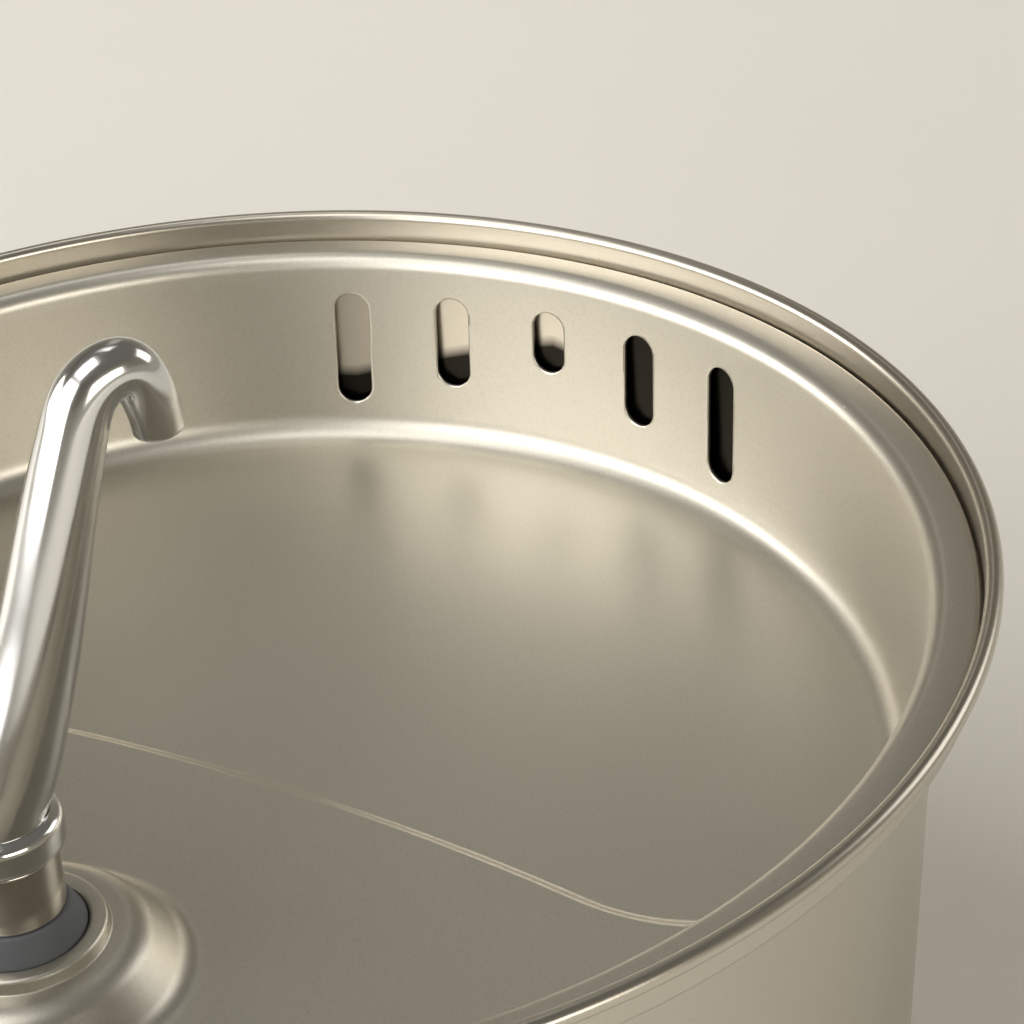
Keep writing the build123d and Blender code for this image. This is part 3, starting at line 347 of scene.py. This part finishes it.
def plastic(name, tone, rough, coat=0.0):
    """Moulded plastic with a fine texture."""
    n = Nodes(name)
    cloud = n.noise(45.0, detail=4.0)
    fine = n.noise(1400.0, detail=2.0)
    n.set(colour=n.ramp(cloud, *shades(tone, 0.9, 1.08)),
          rough=n.spread(cloud, 0.3, 0.7, rough - 0.05, rough + 0.06), coat=coat, coat_rough=0.2)
    n.bump(fine, 0.15, 0.00003)
    return n.material


def rubber(name, tone, rough=0.62):
    """Matte rubber or silicone."""
    n = Nodes(name)
    cloud = n.noise(70.0, detail=5.0)
    fine = n.noise(1800.0, detail=2.0)
    n.set(colour=n.ramp(cloud, *shades(tone, 0.82, 1.15)),
          rough=n.spread(cloud, 0.3, 0.7, rough - 0.06, rough + 0.08))
    n.bump(fine, 0.25, 0.00004)
    return n.material


def grains(name, dark, light, scale, rough, depth):
    """Granular, fibrous or porous stuff: carbon, cotton, foam, ferrite."""
    n = Nodes(name)
    cell = n.cells(scale)
    fine = n.noise(scale * 2.5, detail=4.0)
    both = n.math("ADD", n.math("MULTIPLY", cell, 0.7), n.math("MULTIPLY", fine, 0.5))
    n.set(colour=n.ramp(both, dark, light, 0.2, 0.8), rough=rough)
    n.bump(both, 0.6, depth)
    return n.material


def layered(name, dark, light, axis_scale, metal, rough):
    """Thin bands: stacked laminations or windings."""
    n = Nodes(name)
    wave = n.add("ShaderNodeTexWave")
    wave.inputs["Scale"].default_value = 1.0
    wave.inputs["Distortion"].default_value = 0.4
    n.link(n.mapped(axis_scale), wave.inputs["Vector"])
    n.set(colour=n.ramp(wave.outputs["Fac"], dark, light, 0.2, 0.8), metal=metal, rough=rough)
    n.bump(wave.outputs["Fac"], 0.5, 0.0001)
    return n.material


def clear_silicone():
    """Cloudy see-through silicone, for the hose."""
    n = Nodes("clear_silicone")
    cloud = n.noise(60.0, detail=4.0)
    n.set(colour=n.ramp(cloud, (0.78, 0.80, 0.80), (0.88, 0.89, 0.89)),
          rough=n.spread(cloud, 0.3, 0.7, 0.25, 0.38), transmission=0.55, ior=1.41)
    n.bump(n.noise(900.0), 0.1, 0.00003)
    return n.material


materials = {
    # the tank's steel carries painted shade behind the drain slots
    "tank_steel": steel("tank_steel", (0.59, 0.55, 0.48), 0.29, 0.5, 0.0, 0.12, gap_shade),
    "tray_steel": steel("tray_steel", (0.66, 0.63, 0.56), 0.40, 0.9, 1.0, 0.22),
    "collar_steel": steel("collar_steel", (0.62, 0.59, 0.54), 0.16, 0.2, 0.0),
    "washer_steel": steel("washer_steel", (0.55, 0.55, 0.54), 0.3, 0.3, 0.0),
    "faucet_chrome": chrome(),
    "nut_plastic": plastic("nut_plastic", (0.03, 0.03, 0.03), 0.5),
    "pump_plastic": plastic("pump_plastic", (0.02, 0.02, 0.022), 0.45),
    "insert_plastic": plastic("insert_plastic", (0.02, 0.02, 0.02), 0.5),
    "box_plastic": plastic("box_plastic", (0.72, 0.72, 0.70), 0.35, coat=0.1),
    "cartridge_plastic": plastic("cartridge_plastic", (0.8, 0.8, 0.79), 0.4),
    "gate_plastic": plastic("gate_plastic", (0.04, 0.12, 0.36), 0.4),
    "impeller_plastic": plastic("impeller_plastic", (0.76, 0.76, 0.73), 0.4),
    "ceramic": plastic("ceramic", (0.82, 0.81, 0.77), 0.2, coat=0.4),
    "dark_silicone": rubber("dark_silicone", (0.15, 0.16, 0.175)),
    "base_silicone": rubber("base_silicone", (0.05, 0.05, 0.053)),
    "black_rubber": rubber("black_rubber", (0.02, 0.02, 0.02)),
    "clear_silicone": clear_silicone(),
    "ferrite": grains("ferrite", (0.02, 0.02, 0.022), (0.05, 0.05, 0.053), 700.0, 0.6, 0.00005),
    "carbon": grains("carbon", (0.005, 0.005, 0.005), (0.05, 0.05, 0.05), 450.0, 0.7, 0.0005),
    "cotton": grains("cotton", (0.74, 0.74, 0.72), (0.88, 0.88, 0.87), 300.0, 0.9, 0.0003),
    "foam": grains("foam", (0.006, 0.006, 0.007), (0.04, 0.04, 0.045), 500.0, 0.9, 0.0006),
    "lamination": layered("lamination", (0.16, 0.16, 0.17), (0.36, 0.36, 0.38), (0, 900, 0), 0.9, 0.4),
    "copper": layered("copper", (0.32, 0.10, 0.035), (0.62, 0.24, 0.10), (1400, 0, 0), 1.0, 0.3),
}

# ---------------------------------------------------------------- CAD nodes keep their mesh
slot_of = {part["node"]: part["material_slot"] for part in frame["record"]["subparts"]}
for node, obj in frame["nodes"].items():
    obj.data.materials.clear()
    obj.data.materials.append(materials[slot_of[node]])


# ---------------------------------------------------------------- mesh helpers
def add_mesh(name, verts, faces, slot, thickness=0.0):
    """Smooth mesh from millimetre points; thickness is laid on behind the faces."""
    mesh = bpy.data.meshes.new(name)
    mesh.from_pydata([tuple(v) for v in np.asarray(verts) * mm], [], [tuple(f) for f in faces])
    mesh.validate()
    mesh.polygons.foreach_set("use_smooth", [True] * len(mesh.polygons))
    mesh.materials.append(materials[slot])
    obj = bpy.data.objects.new(name, mesh)
    bpy.context.collection.objects.link(obj)
    if thickness:
        mod = obj.modifiers.new("thickness", "SOLIDIFY")
        mod.thickness = thickness * mm
        mod.offset = -1.0
        mod.use_even_offset = True
    mesh.set_sharp_from_angle(angle=math.radians(40))
    return obj


def rounded(points, arc=6):
    """Polyline through (x, z, radius) points with rounded corners of arc steps."""
    out = []
    for i, (x, z, rad) in enumerate(points):
        p = np.array((x, z), float)
        if rad <= 0 or i in (0, len(points) - 1):
            out.append(p)
            continue
        a = np.array(points[i - 1][:2]) - p
        b = np.array(points[i + 1][:2]) - p
        a /= np.linalg.norm(a)
        b /= np.linalg.norm(b)
        half = math.acos(float(np.clip(a @ b, -1, 1))) / 2
        run = rad / math.tan(half)
        centre = p + (a + b) / np.linalg.norm(a + b) * rad / math.sin(half)
        start = p + a * run - centre
        end = p + b * run - centre
        turn = math.atan2(start[0] * end[1] - start[1] * end[0], start @ end)
        for k in range(arc + 1):
            t = turn * k / arc
            out.append(centre + (start[0] * math.cos(t) - start[1] * math.sin(t),
                                 start[0] * math.sin(t) + start[1] * math.cos(t)))
    return np.array(out)


def ring_faces(rows, steps, closed=True):
    """Quads between rings of steps points each; closed joins the last ring to the first."""
    faces = []
    for i in range(rows if closed else rows - 1):
        j = (i + 1) % rows
        for k in range(steps):
            m = (k + 1) % steps
            faces.append((i * steps + k, i * steps + m, j * steps + m, j * steps + k))
    return faces


def lathe(name, points, slot, y=0.0, steps=160, closed=True):
    """Turns a polyline of (radius, z) points about the upright axis at y."""
    turn = np.linspace(0, 2 * math.pi, steps, endpoint=False)
    verts = [(r * math.sin(a), y + r * math.cos(a), z) for r, z in points for a in turn]
    return add_mesh(name, verts, ring_faces(len(points), steps, closed), slot)


def grid_faces(labels, hollow):
    """Faces of a grid closed in the column direction, without the hollow quads and the points below 0."""
    rows, cols = labels.shape
    faces = []
    for i in range(rows - 1):
        for j in range(cols):
            k = (j + 1) % cols
            ids = [i * cols + j, i * cols + k, (i + 1) * cols + k, (i + 1) * cols + j]
            side = [labels[i, j], labels[i, k], labels[i + 1, k], labels[i + 1, j]]
            if min(side) >= 0:
                if not hollow[i, j]:
                    faces.append(ids)
            elif max(side) > 0:
                n = side.index(max(side))
                faces.append([ids[n - 1], ids[n], ids[(n + 1) % 4]])
    return faces


def punch(across_u, up_v, distance):
    """Cuts holes in a grid of points, moving those beside an outline onto it.

    distance gives the signed distance to the outline. Returns -1 for points inside, 0 for those on the outline and 1
    outside, and which quads have their middle inside.
    """
    passes = 6
    wrap = 10.0                  # a quad wider than this closes the ring, and isn't one beside a hole, mm
    labels = np.sign(distance(across_u, up_v)).astype(int)
    for _ in range(passes):
        best = np.full(labels.shape, np.inf)
        target_u = across_u.copy()
        target_v = up_v.copy()
        d = distance(across_u, up_v)
        for di, dj in ((0, 1), (1, 0), (0, -1), (-1, 0)):
            other = np.roll(labels, (-di, -dj), (0, 1))
            cross = labels * other < 0
            d2 = np.roll(d, (-di, -dj), (0, 1))
            t = np.where(cross, d / np.where(cross, d - d2, 1.0), np.inf)
            near = cross & (t <= 0.5) & (t < best)
            u2 = np.roll(across_u, (-di, -dj), (0, 1))
            v2 = np.roll(up_v, (-di, -dj), (0, 1))
            target_u[near] = across_u[near] + t[near] * (u2 - across_u)[near]
            target_v[near] = up_v[near] + t[near] * (v2 - up_v)[near]
            best[near] = t[near]
        moved = np.isfinite(best)
        if not moved.any():
            break
        across_u[moved] = target_u[moved]
        up_v[moved] = target_v[moved]
        labels[moved] = 0
    corners = [(0, 0), (0, 1), (1, 0), (1, 1)]
    mid_u, mid_v = (sum(np.roll(a, (-i, -j), (0, 1)) for i, j in corners) / 4 for a in (across_u, up_v))
    wrapped = np.abs(np.roll(across_u, -1, 1) - across_u) > wrap
    return labels, (distance(mid_u, mid_v) < 0) & ~wrapped


def columns(fine, step):
    """Angles round the axis from +Y towards +X; fine holds (centre, half width, step), all in degrees."""
    angles = [-180.0]
    while angles[-1] < 180.0:
        now = step
        for centre, half, small in fine:
            if abs((angles[-1] - centre + 180.0) % 360.0 - 180.0) < half:
                now = small
        angles.append(angles[-1] + now)
    return np.radians(np.array(angles[:-1]))


def place(radius, angle, z):
    """Points at radius and angle, the angle counted from +Y towards +X."""
    return np.stack([radius * np.sin(angle), radius * np.cos(angle), z], axis=-1).reshape(-1, 3)


def merge_centre(obj):
    """Joins the points that meet on the axis."""
    bm = bmesh.new()
    bm.from_mesh(obj.data)
    bmesh.ops.remove_doubles(bm, verts=bm.verts, dist=1e-7)
    bm.to_mesh(obj.data)
    bm.free()


far_away = 50.0              # distance given to points that no hole may reach, mm

# ---------------------------------------------------------------- tank
bead_x = collar_in + bead_r
curl = np.radians(np.linspace(180, -80, 28))
tank_line = rounded([
    (0, ring_h + sheet, 0),
    (tank_foot_r, ring_h + sheet, tank_foot_fillet),
    (ledge_r, ledge_z, ledge_bend + sheet),
    (collar_in, ledge_z, bend_small),
    (collar_in, rim_z - 0.1, 0),
], arc=10)
bead = [(bead_x + bead_r * math.cos(a), rim_z + bead_r * math.sin(a)) for a in curl]
tank_line = np.concatenate([tank_line, bead])

# more rows up the plain wall, the closest of them round the cord outlet
outlet_low, outlet_high = 58, 76
floor_top = 20               # the points above this height belong to the wall and the rim
wall_at = int(np.argmax(tank_line[:, 1] > floor_top))
upper = tank_line[wall_at:]
foot, top = tank_line[wall_at - 1], upper[0]
heights = np.concatenate([
    np.linspace(foot[1], outlet_low, 12)[1:],
    np.linspace(outlet_low, outlet_high, 46)[1:],
    np.linspace(outlet_high, top[1], 8)[1:-1],
])
between = np.stack([np.interp(heights, (foot[1], top[1]), (foot[0], top[0])), heights], axis=1)
tank_line = np.concatenate([tank_line[:wall_at], between, upper])

angle = columns([(180.0, 6.0, 0.25)], 1.2)
rad = np.repeat(tank_line[:, :1], len(angle), axis=1)
height = np.repeat(tank_line[:, 1:], len(angle), axis=1)
turn = np.repeat(angle[None, :], len(tank_line), axis=0)
side_u = ((turn + 2 * math.pi) % (2 * math.pi) - math.pi) * rad


def outlet_hole(u, v):
    """Distance to the cord outlet, in the plane of the wall."""
    low, high, half = 50, 85, 40     # the patch of the wall that the hole lies in, mm
    on_wall = (v > low) & (v < high) & (np.abs(u) < half)
    return np.where(on_wall, np.hypot(u, v - outlet_z) - outlet_hole_r, far_away)


labels, hollow = punch(side_u, height, outlet_hole)
turn = side_u / np.maximum(rad, 1.0) + math.pi
tank = add_mesh("tank_sheet", place(rad, turn, height), grid_faces(labels, hollow), "tank_steel", sheet)
merge_centre(tank)
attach(tank, "base")
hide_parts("tank")


# ---------------------------------------------------------------- tray
def wall_r(z):
    """Inner radius of the tray wall at height z."""
    return tray_wall_r - (flange_z - z) * math.tan(draft)


def floor_z(x, y):
    """Height of the tray floor: basin in front, deck round the faucet, a slope between them."""
    front = np.hypot(x, y - (deck_edge_y - deck_edge_curve)) - deck_edge_curve
    side = wall_r(basin_z) - deck_corner_gap - np.abs(x)
    both = (front < deck_corner) & (side < deck_corner)
    inner = deck_corner - np.hypot(deck_corner - front, deck_corner - side)
    d = np.where(both, inner, np.minimum(front, side))
    t = np.clip(d / step_run + 0.5, 0, 1)
    return deck_z - deck_rise * t * t * (3 - 2 * t)


# the columns are closest at the slots and where the slope meets the wall
angle = columns([(0.0, 30.0, 0.22), (87.0, 13.0, 0.25), (-87.0, 13.0, 0.25)], 0.9)
foot_band = 9.0              # height of the wall that is formed with the floor
floor_pitch = 0.8            # distance between the rings of the floor
floor_core = 20              # radius inside which they are closer
slot_mid = 8.0               # depth below the top of the slots at which their pitch is measured
wall_inner = 91              # points further in than this belong to the floor
rim_line = rounded([
    (flange_r, ledge_z, 0),
    (flange_r, flange_z, skirt_bend),
    (tray_wall_r, flange_z, wall_bend),
    (wall_r(flange_z - flange_band), flange_z - flange_band, 0),
], arc=8)
foot_line = rounded([
    (wall_r(basin_z + foot_band), basin_z + foot_band, 0),
    (wall_r(basin_z), basin_z, floor_fillet),
    (0, basin_z, 0),
], arc=14)[1:-1]
floor_line = np.concatenate([
    np.arange(foot_line[-1, 0] - floor_pitch, floor_core, -floor_pitch),
    np.linspace(floor_core, 0, 60),
])
wall_steps = np.linspace(0, 1, 62)[1:-1]

rows_r = []
rows_z = []
for r, z in rim_line:
    rows_r.append(np.full(len(angle), r))
    rows_z.append(np.full(len(angle), z))
foot_r = []
foot_z = []
for r, z in foot_line:
    h = floor_z(r * np.sin(angle), r * np.cos(angle))
    foot_r.append(r + (h - basin_z) * math.tan(draft))
    foot_z.append(z + h - basin_z)
for t in wall_steps:
    z = rim_line[-1, 1] + (foot_z[0] - rim_line[-1, 1]) * t
    rows_r.append(wall_r(z))
    rows_z.append(z)
rows_r += foot_r
rows_z += foot_z
for r in floor_line:
    rows_r.append(np.full(len(angle), r))
    rows_z.append(floor_z(r * np.sin(angle), r * np.cos(angle)))
rad = np.array(rows_r)
height = np.array(rows_z)
turn = np.repeat(angle[None, :], len(rad), axis=0)
side_u = turn * rad


def slots(u, v):
    """Distance to the drain slots, in the plane of the wall."""
    best = np.full(u.shape, far_away)
    wall_mid = wall_r(slot_top - slot_mid)
    for i, length in enumerate(slot_lengths):
        du = u - (i - 2) * slot_pitch * wall_mid
        dv = v - (slot_top - length / 2)
        along = np.abs(dv) - (length / 2 - slot_half_w)
        d = np.hypot(du, np.maximum(along, 0)) - slot_half_w
        best = np.minimum(best, d)
    return np.where(rad > wall_inner, best, far_away)


labels, hollow = punch(side_u, height, slots)
on_slot = labels == 0
rad[on_slot] = wall_r(height)[on_slot]
turn = side_u / np.maximum(rad, 1e-6)
turn[-1] = 0.0
x = rad * np.sin(turn)
y = rad * np.cos(turn)
labels[np.hypot(x, y - faucet_y) < boss_r + boss_cut] = -1
faces = [face[::-1] for face in grid_faces(labels, hollow)]
tray = add_mesh("tray_sheet", place(rad, turn, height), faces, "tray_steel", sheet)
merge_centre(tray)

boss = lathe("tray_boss", rounded([
    (boss_r + boss_lap, deck_z + boss_lift, 0),
    (boss_r - 1.0, deck_z + boss_lift, 4.0),
    (boss_r - 6.0, deck_z + boss_shoulder, 4.6),
    (boss_lip_r + 0.3, deck_z + boss_shoulder, 0.3),
    (boss_lip_r - 0.2, lip_z, 0.7),
    (boss_hole_r, lip_z, 0.7),
    (boss_hole_r, hem_foot, 0),
    (boss_hole_r + sheet, hem_foot, 0),
    (boss_hole_r + sheet, lip_z - sheet, 0.1),
    (boss_lip_r - 0.8, lip_z - sheet, 0.1),
    (boss_lip_r - 0.3, deck_z + boss_shoulder - sheet, 0.4),
    (boss_r - 6.3, deck_z + boss_shoulder - sheet, 4.0),
    (boss_r - 1.3, deck_z - sheet, 4.6),
    (boss_r + boss_lap, deck_z - sheet, 0),
], arc=10), "tray_steel", y=faucet_y)
boss.parent = tray
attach(tray, "tray_unit")
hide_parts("tray")

# ---------------------------------------------------------------- faucet
grommet_r = boss_hole_r - grommet_slack
grommet_foot = hem_foot - grommet_flange_h
grommet = lathe("boss_grommet_ring", rounded([
    (shank_r, collar_foot, 0),
    (grommet_top_r, collar_foot, grommet_round),
    (grommet_r, lip_z - grommet_lip, grommet_round),
    (grommet_r, hem_foot, 0),
    (grommet_flange_r, hem_foot, grommet_round),
    (grommet_flange_r, grommet_foot, grommet_round),
    (shank_r, grommet_foot, 0),
]), "dark_silicone", y=faucet_y)
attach(grommet, "tray_unit")
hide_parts("boss_grommet")

barb_high = hose_bore_r + barb_ridge
barb_low = hose_bore_r - barb_ridge / 2
collar = lathe("collar_body", rounded([
    (barb_bore, barb_foot, 0),
    (hose_bore_r - barb_ridge, barb_foot, 0.3),
    (barb_high, barb_foot + 2.0, 0),
    (barb_low, barb_foot + 2.0, 0),
    (barb_high, barb_foot + 4.6, 0),
    (barb_low, barb_foot + 4.6, 0),
    (barb_low, shank_foot, 0),
    (shank_r, shank_foot, 0.6),
    (shank_r, collar_foot, 0),
    (collar_r, collar_foot, 0.4),
    (collar_r, collar_top, 0.5),
    (sleeve_r + run_clear, collar_top, 0),
    (sleeve_r + run_clear, collar_top - sleeve_len - seam, 0),
    (spigot_r + run_clear, collar_top - sleeve_len - seam, 0),
    (spigot_r + run_clear, socket_floor, 0),
    (shank_bore, socket_floor, 0),
    (shank_bore, shank_foot + 2.0, 0),
    (barb_bore, shank_foot, 0),
]), "collar_steel", y=faucet_y)
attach(collar, "tray_unit")
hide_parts("faucet_collar")

ferrule = lathe("ferrule_ring", rounded([
    (spigot_r, collar_top - sleeve_len, 0),
    (sleeve_r, collar_top - sleeve_len, 0.2),
    (sleeve_r, collar_top + seam, 0),
    (ferrule_r, collar_top + seam, 1.2),
    (ferrule_r, neck_foot - 0.8, 1.4),
    (neck_r_low + 0.2, neck_foot, 0.3),
    (spigot_r, neck_foot, 0),
], arc=10), "faucet_chrome", y=faucet_y)
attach(ferrule, "spout")
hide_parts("ferrule")


def smooth_curve(points, start, end, count):
    """Points and directions on a smooth curve with given end directions."""
    p = np.array(points, float)
    chord = np.linalg.norm(np.diff(p, axis=0), axis=1)
    n = len(p)
    system = np.zeros((n, n))
    right = np.zeros((n, p.shape[1]))
    system[0, 0] = system[-1, -1] = 1
    right[0] = start
    right[-1] = end
    for i in range(1, n - 1):
        a, b = chord[i - 1], chord[i]
        system[i, i - 1:i + 2] = b, 2 * (a + b), a
        right[i] = 3 * (b / a * (p[i] - p[i - 1]) + a / b * (p[i + 1] - p[i]))
    slope = np.linalg.solve(system, right)
    knots = np.concatenate([[0], np.cumsum(chord)])
    spots = []
    dirs = []
    for w in np.linspace(0, knots[-1], count):
        i = min(int(np.searchsorted(knots, w, side="right")) - 1, n - 2)
        h = chord[i]
        t = (w - knots[i]) / h
        spots.append((2 * t**3 - 3 * t**2 + 1) * p[i] + (t**3 - 2 * t**2 + t) * h * slope[i]
                     + (3 * t**2 - 2 * t**3) * p[i + 1] + (t**3 - t**2) * h * slope[i + 1])
        d = ((6 * t**2 - 6 * t) * (p[i] - p[i + 1]) / h + (3 * t**2 - 4 * t + 1) * slope[i]
             + (3 * t**2 - 2 * t) * slope[i + 1])
        dirs.append(d / np.linalg.norm(d))
    return np.array(spots), np.array(dirs)


def tube(name, stations, slot, steps=96):
    """Skin through (reach, height, run, rise, radius) circles that stand across the neck plane."""
    out = np.array((math.sin(spout_turn), math.cos(spout_turn), 0.0))
    aside = np.array((math.cos(spout_turn), -math.sin(spout_turn), 0.0))
    up = np.array((0.0, 0.0, 1.0))
    verts = []
    for reach, z, run, rise, r in stations:
        centre = np.array((0, faucet_y, 0)) + out * reach + up * z
        across = out * rise - up * run
        for a in np.linspace(0, 2 * math.pi, steps, endpoint=False):
            verts.append(centre + r * (across * math.cos(a) + aside * math.sin(a)))
    return add_mesh(name, verts, ring_faces(len(stations), steps), slot)


# up the outside of the neck, round the rolled edge of the outlet and down the inside
spots, dirs = smooth_curve(neck_points, (0, 1), (neck_end_run, -1), 120)
spots[:, 1] += neck_foot
fraction = np.linspace(0, 1, len(spots))
outer_r = neck_r_low + (neck_r_end - neck_r_low) * fraction
inner_r = neck_bore_r + (neck_r_end - tube_wall - neck_bore_r) * fraction
spigot_foot = socket_floor + seam
stations = [(0, spigot_foot, 0, 1, neck_bore_r), (0, spigot_foot, 0, 1, spigot_r), (0, neck_foot, 0, 1, spigot_r)]
stations += [(*p, *d, r) for p, d, r in zip(spots, dirs, outer_r)][:-1]
rim_round = tube_wall / 2
for a in np.radians(np.linspace(0, 180, 9)):
    back = rim_round * (1 - math.sin(a))
    p = spots[-1] - dirs[-1] * back
    stations.append((*p, *dirs[-1], neck_r_end - rim_round + rim_round * math.cos(a)))
stations += [(*p, *d, r) for p, d, r in zip(spots, dirs, inner_r)][-2::-1]
neck = tube("gooseneck_tube", stations, "faucet_chrome")
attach(neck, "spout")
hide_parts("gooseneck")

# ---------------------------------------------------------------- floor and backdrop
cove_reach = 2600            # distance to the backdrop, and its height, mm
cove_bend = 700              # rounding between floor and backdrop, mm
# painted shade: the backdrop is coloured darker than the floor, standing in for the unlit room round the fountain
backdrop_shade_tone = (0.36, 0.34, 0.30)
backdrop_fade = (0.05, 0.9)  # heights between which the floor's tone gives way to the backdrop's painted shade, m

cove = Nodes("studio_cove")
pale = cove.ramp(cove.noise(3.0, detail=6.0), (0.84, 0.82, 0.76), (0.87, 0.85, 0.79))
split = cove.add("ShaderNodeSeparateXYZ")
cove.link(cove.coords(), split.inputs[0])
fade = cove.add("ShaderNodeMix", data_type="RGBA")
fade.inputs["B"].default_value = (*backdrop_shade_tone, 1.0)
cove.link(cove.spread(split.outputs["Z"], *backdrop_fade, 0.0, 1.0), fade.inputs["Factor"])
cove.link(pale, fade.inputs["A"])
cove.set(colour=fade.outputs["Result"], rough=0.75)
cove.bump(cove.noise(400.0), 0.05, 0.0002)
materials["studio"] = cove.material
studio = lathe("studio_floor", rounded([(0, 0, 0), (cove_reach, 0, cove_bend), (cove_reach, cove_reach, 0)], arc=16),
               "studio", steps=96, closed=False)


# ---------------------------------------------------------------- lights
def softbox(name, spot, target, size, power, tone, spread=180):
    """Soft lamp at spot that faces target, in metres, watts and degrees; the camera doesn't see it."""
    light = bpy.data.lights.new(name, "AREA")
    light.shape = "RECTANGLE"
    light.size, light.size_y = size
    light.energy = power
    light.color = tone
    light.spread = math.radians(spread)
    obj = bpy.data.objects.new(name, light)
    obj.location = spot
    obj.rotation_euler = (Vector(target) - Vector(spot)).to_track_quat("-Z", "Y").to_euler()
    bpy.context.collection.objects.link(obj)
    obj.visible_camera = False


softbox("window", (-0.70, -1.33, 0.88), (0, 0, 0.88), (1.5, 1.5), 25.0, (1.0, 0.985, 0.96))
softbox("overhead", (-0.40, -0.70, 1.90), (0, 0, 0.1), (1.2, 1.0), 9.0, (1.0, 0.98, 0.94))
softbox("left_panel", (-1.41, -0.51, 0.50), (0, 0, 0.3), (0.9, 0.7), 10.0, (1.0, 0.98, 0.95))
softbox("right_panel", (1.30, -0.72, 0.58), (0, 0, 0.1), (1.0, 0.6), 7.0, (1.0, 0.95, 0.86))
softbox("back_panel", (0.85, 1.17, 0.75), (0, 0, 0.1), (0.8, 0.7), 3.0, (1.0, 0.98, 0.95))
softbox("back_strip", (-1.13, 1.87, 1.60), (0, 0, 0.1), (0.5, 1.3), 0.6, (1.0, 0.97, 0.90))
softbox("backdrop_grid", (-0.80, 1.02, 1.60), (-0.80, 1.02, 0.0), (1.3, 1.3), 2.8, (1.0, 0.99, 0.95), 70)

world = bpy.data.worlds.new("studio")
world.use_nodes = True
bpy.context.scene.world = world
sky = world.node_tree.nodes["Background"]
sky.inputs["Color"].default_value = (1.0, 0.96, 0.86, 1.0)
sky.inputs["Strength"].default_value = 0.15

# ---------------------------------------------------------------- camera, as recovered from the photograph
camera_place = (0.20784, -0.26309, 0.32178)
camera_right = (0.8740, 0.4806, -0.0684)
camera_ahead = (-0.441, 0.7263, -0.5272)

lens = bpy.data.cameras.new("camera")
lens.sensor_width = 36.0
lens.lens = 103.67
lens.clip_start = 0.01
camera = bpy.data.objects.new("camera", lens)
ahead = Vector(camera_ahead).normalized()
up = Vector(camera_right).cross(ahead).normalized()
right = ahead.cross(up)
turned = Matrix((right, up, -ahead)).transposed().to_4x4()
camera.matrix_world = Matrix.Translation(camera_place) @ turned
bpy.context.collection.objects.link(camera)
bpy.context.scene.camera = camera
bpy.context.scene.view_settings.view_transform = "Standard"
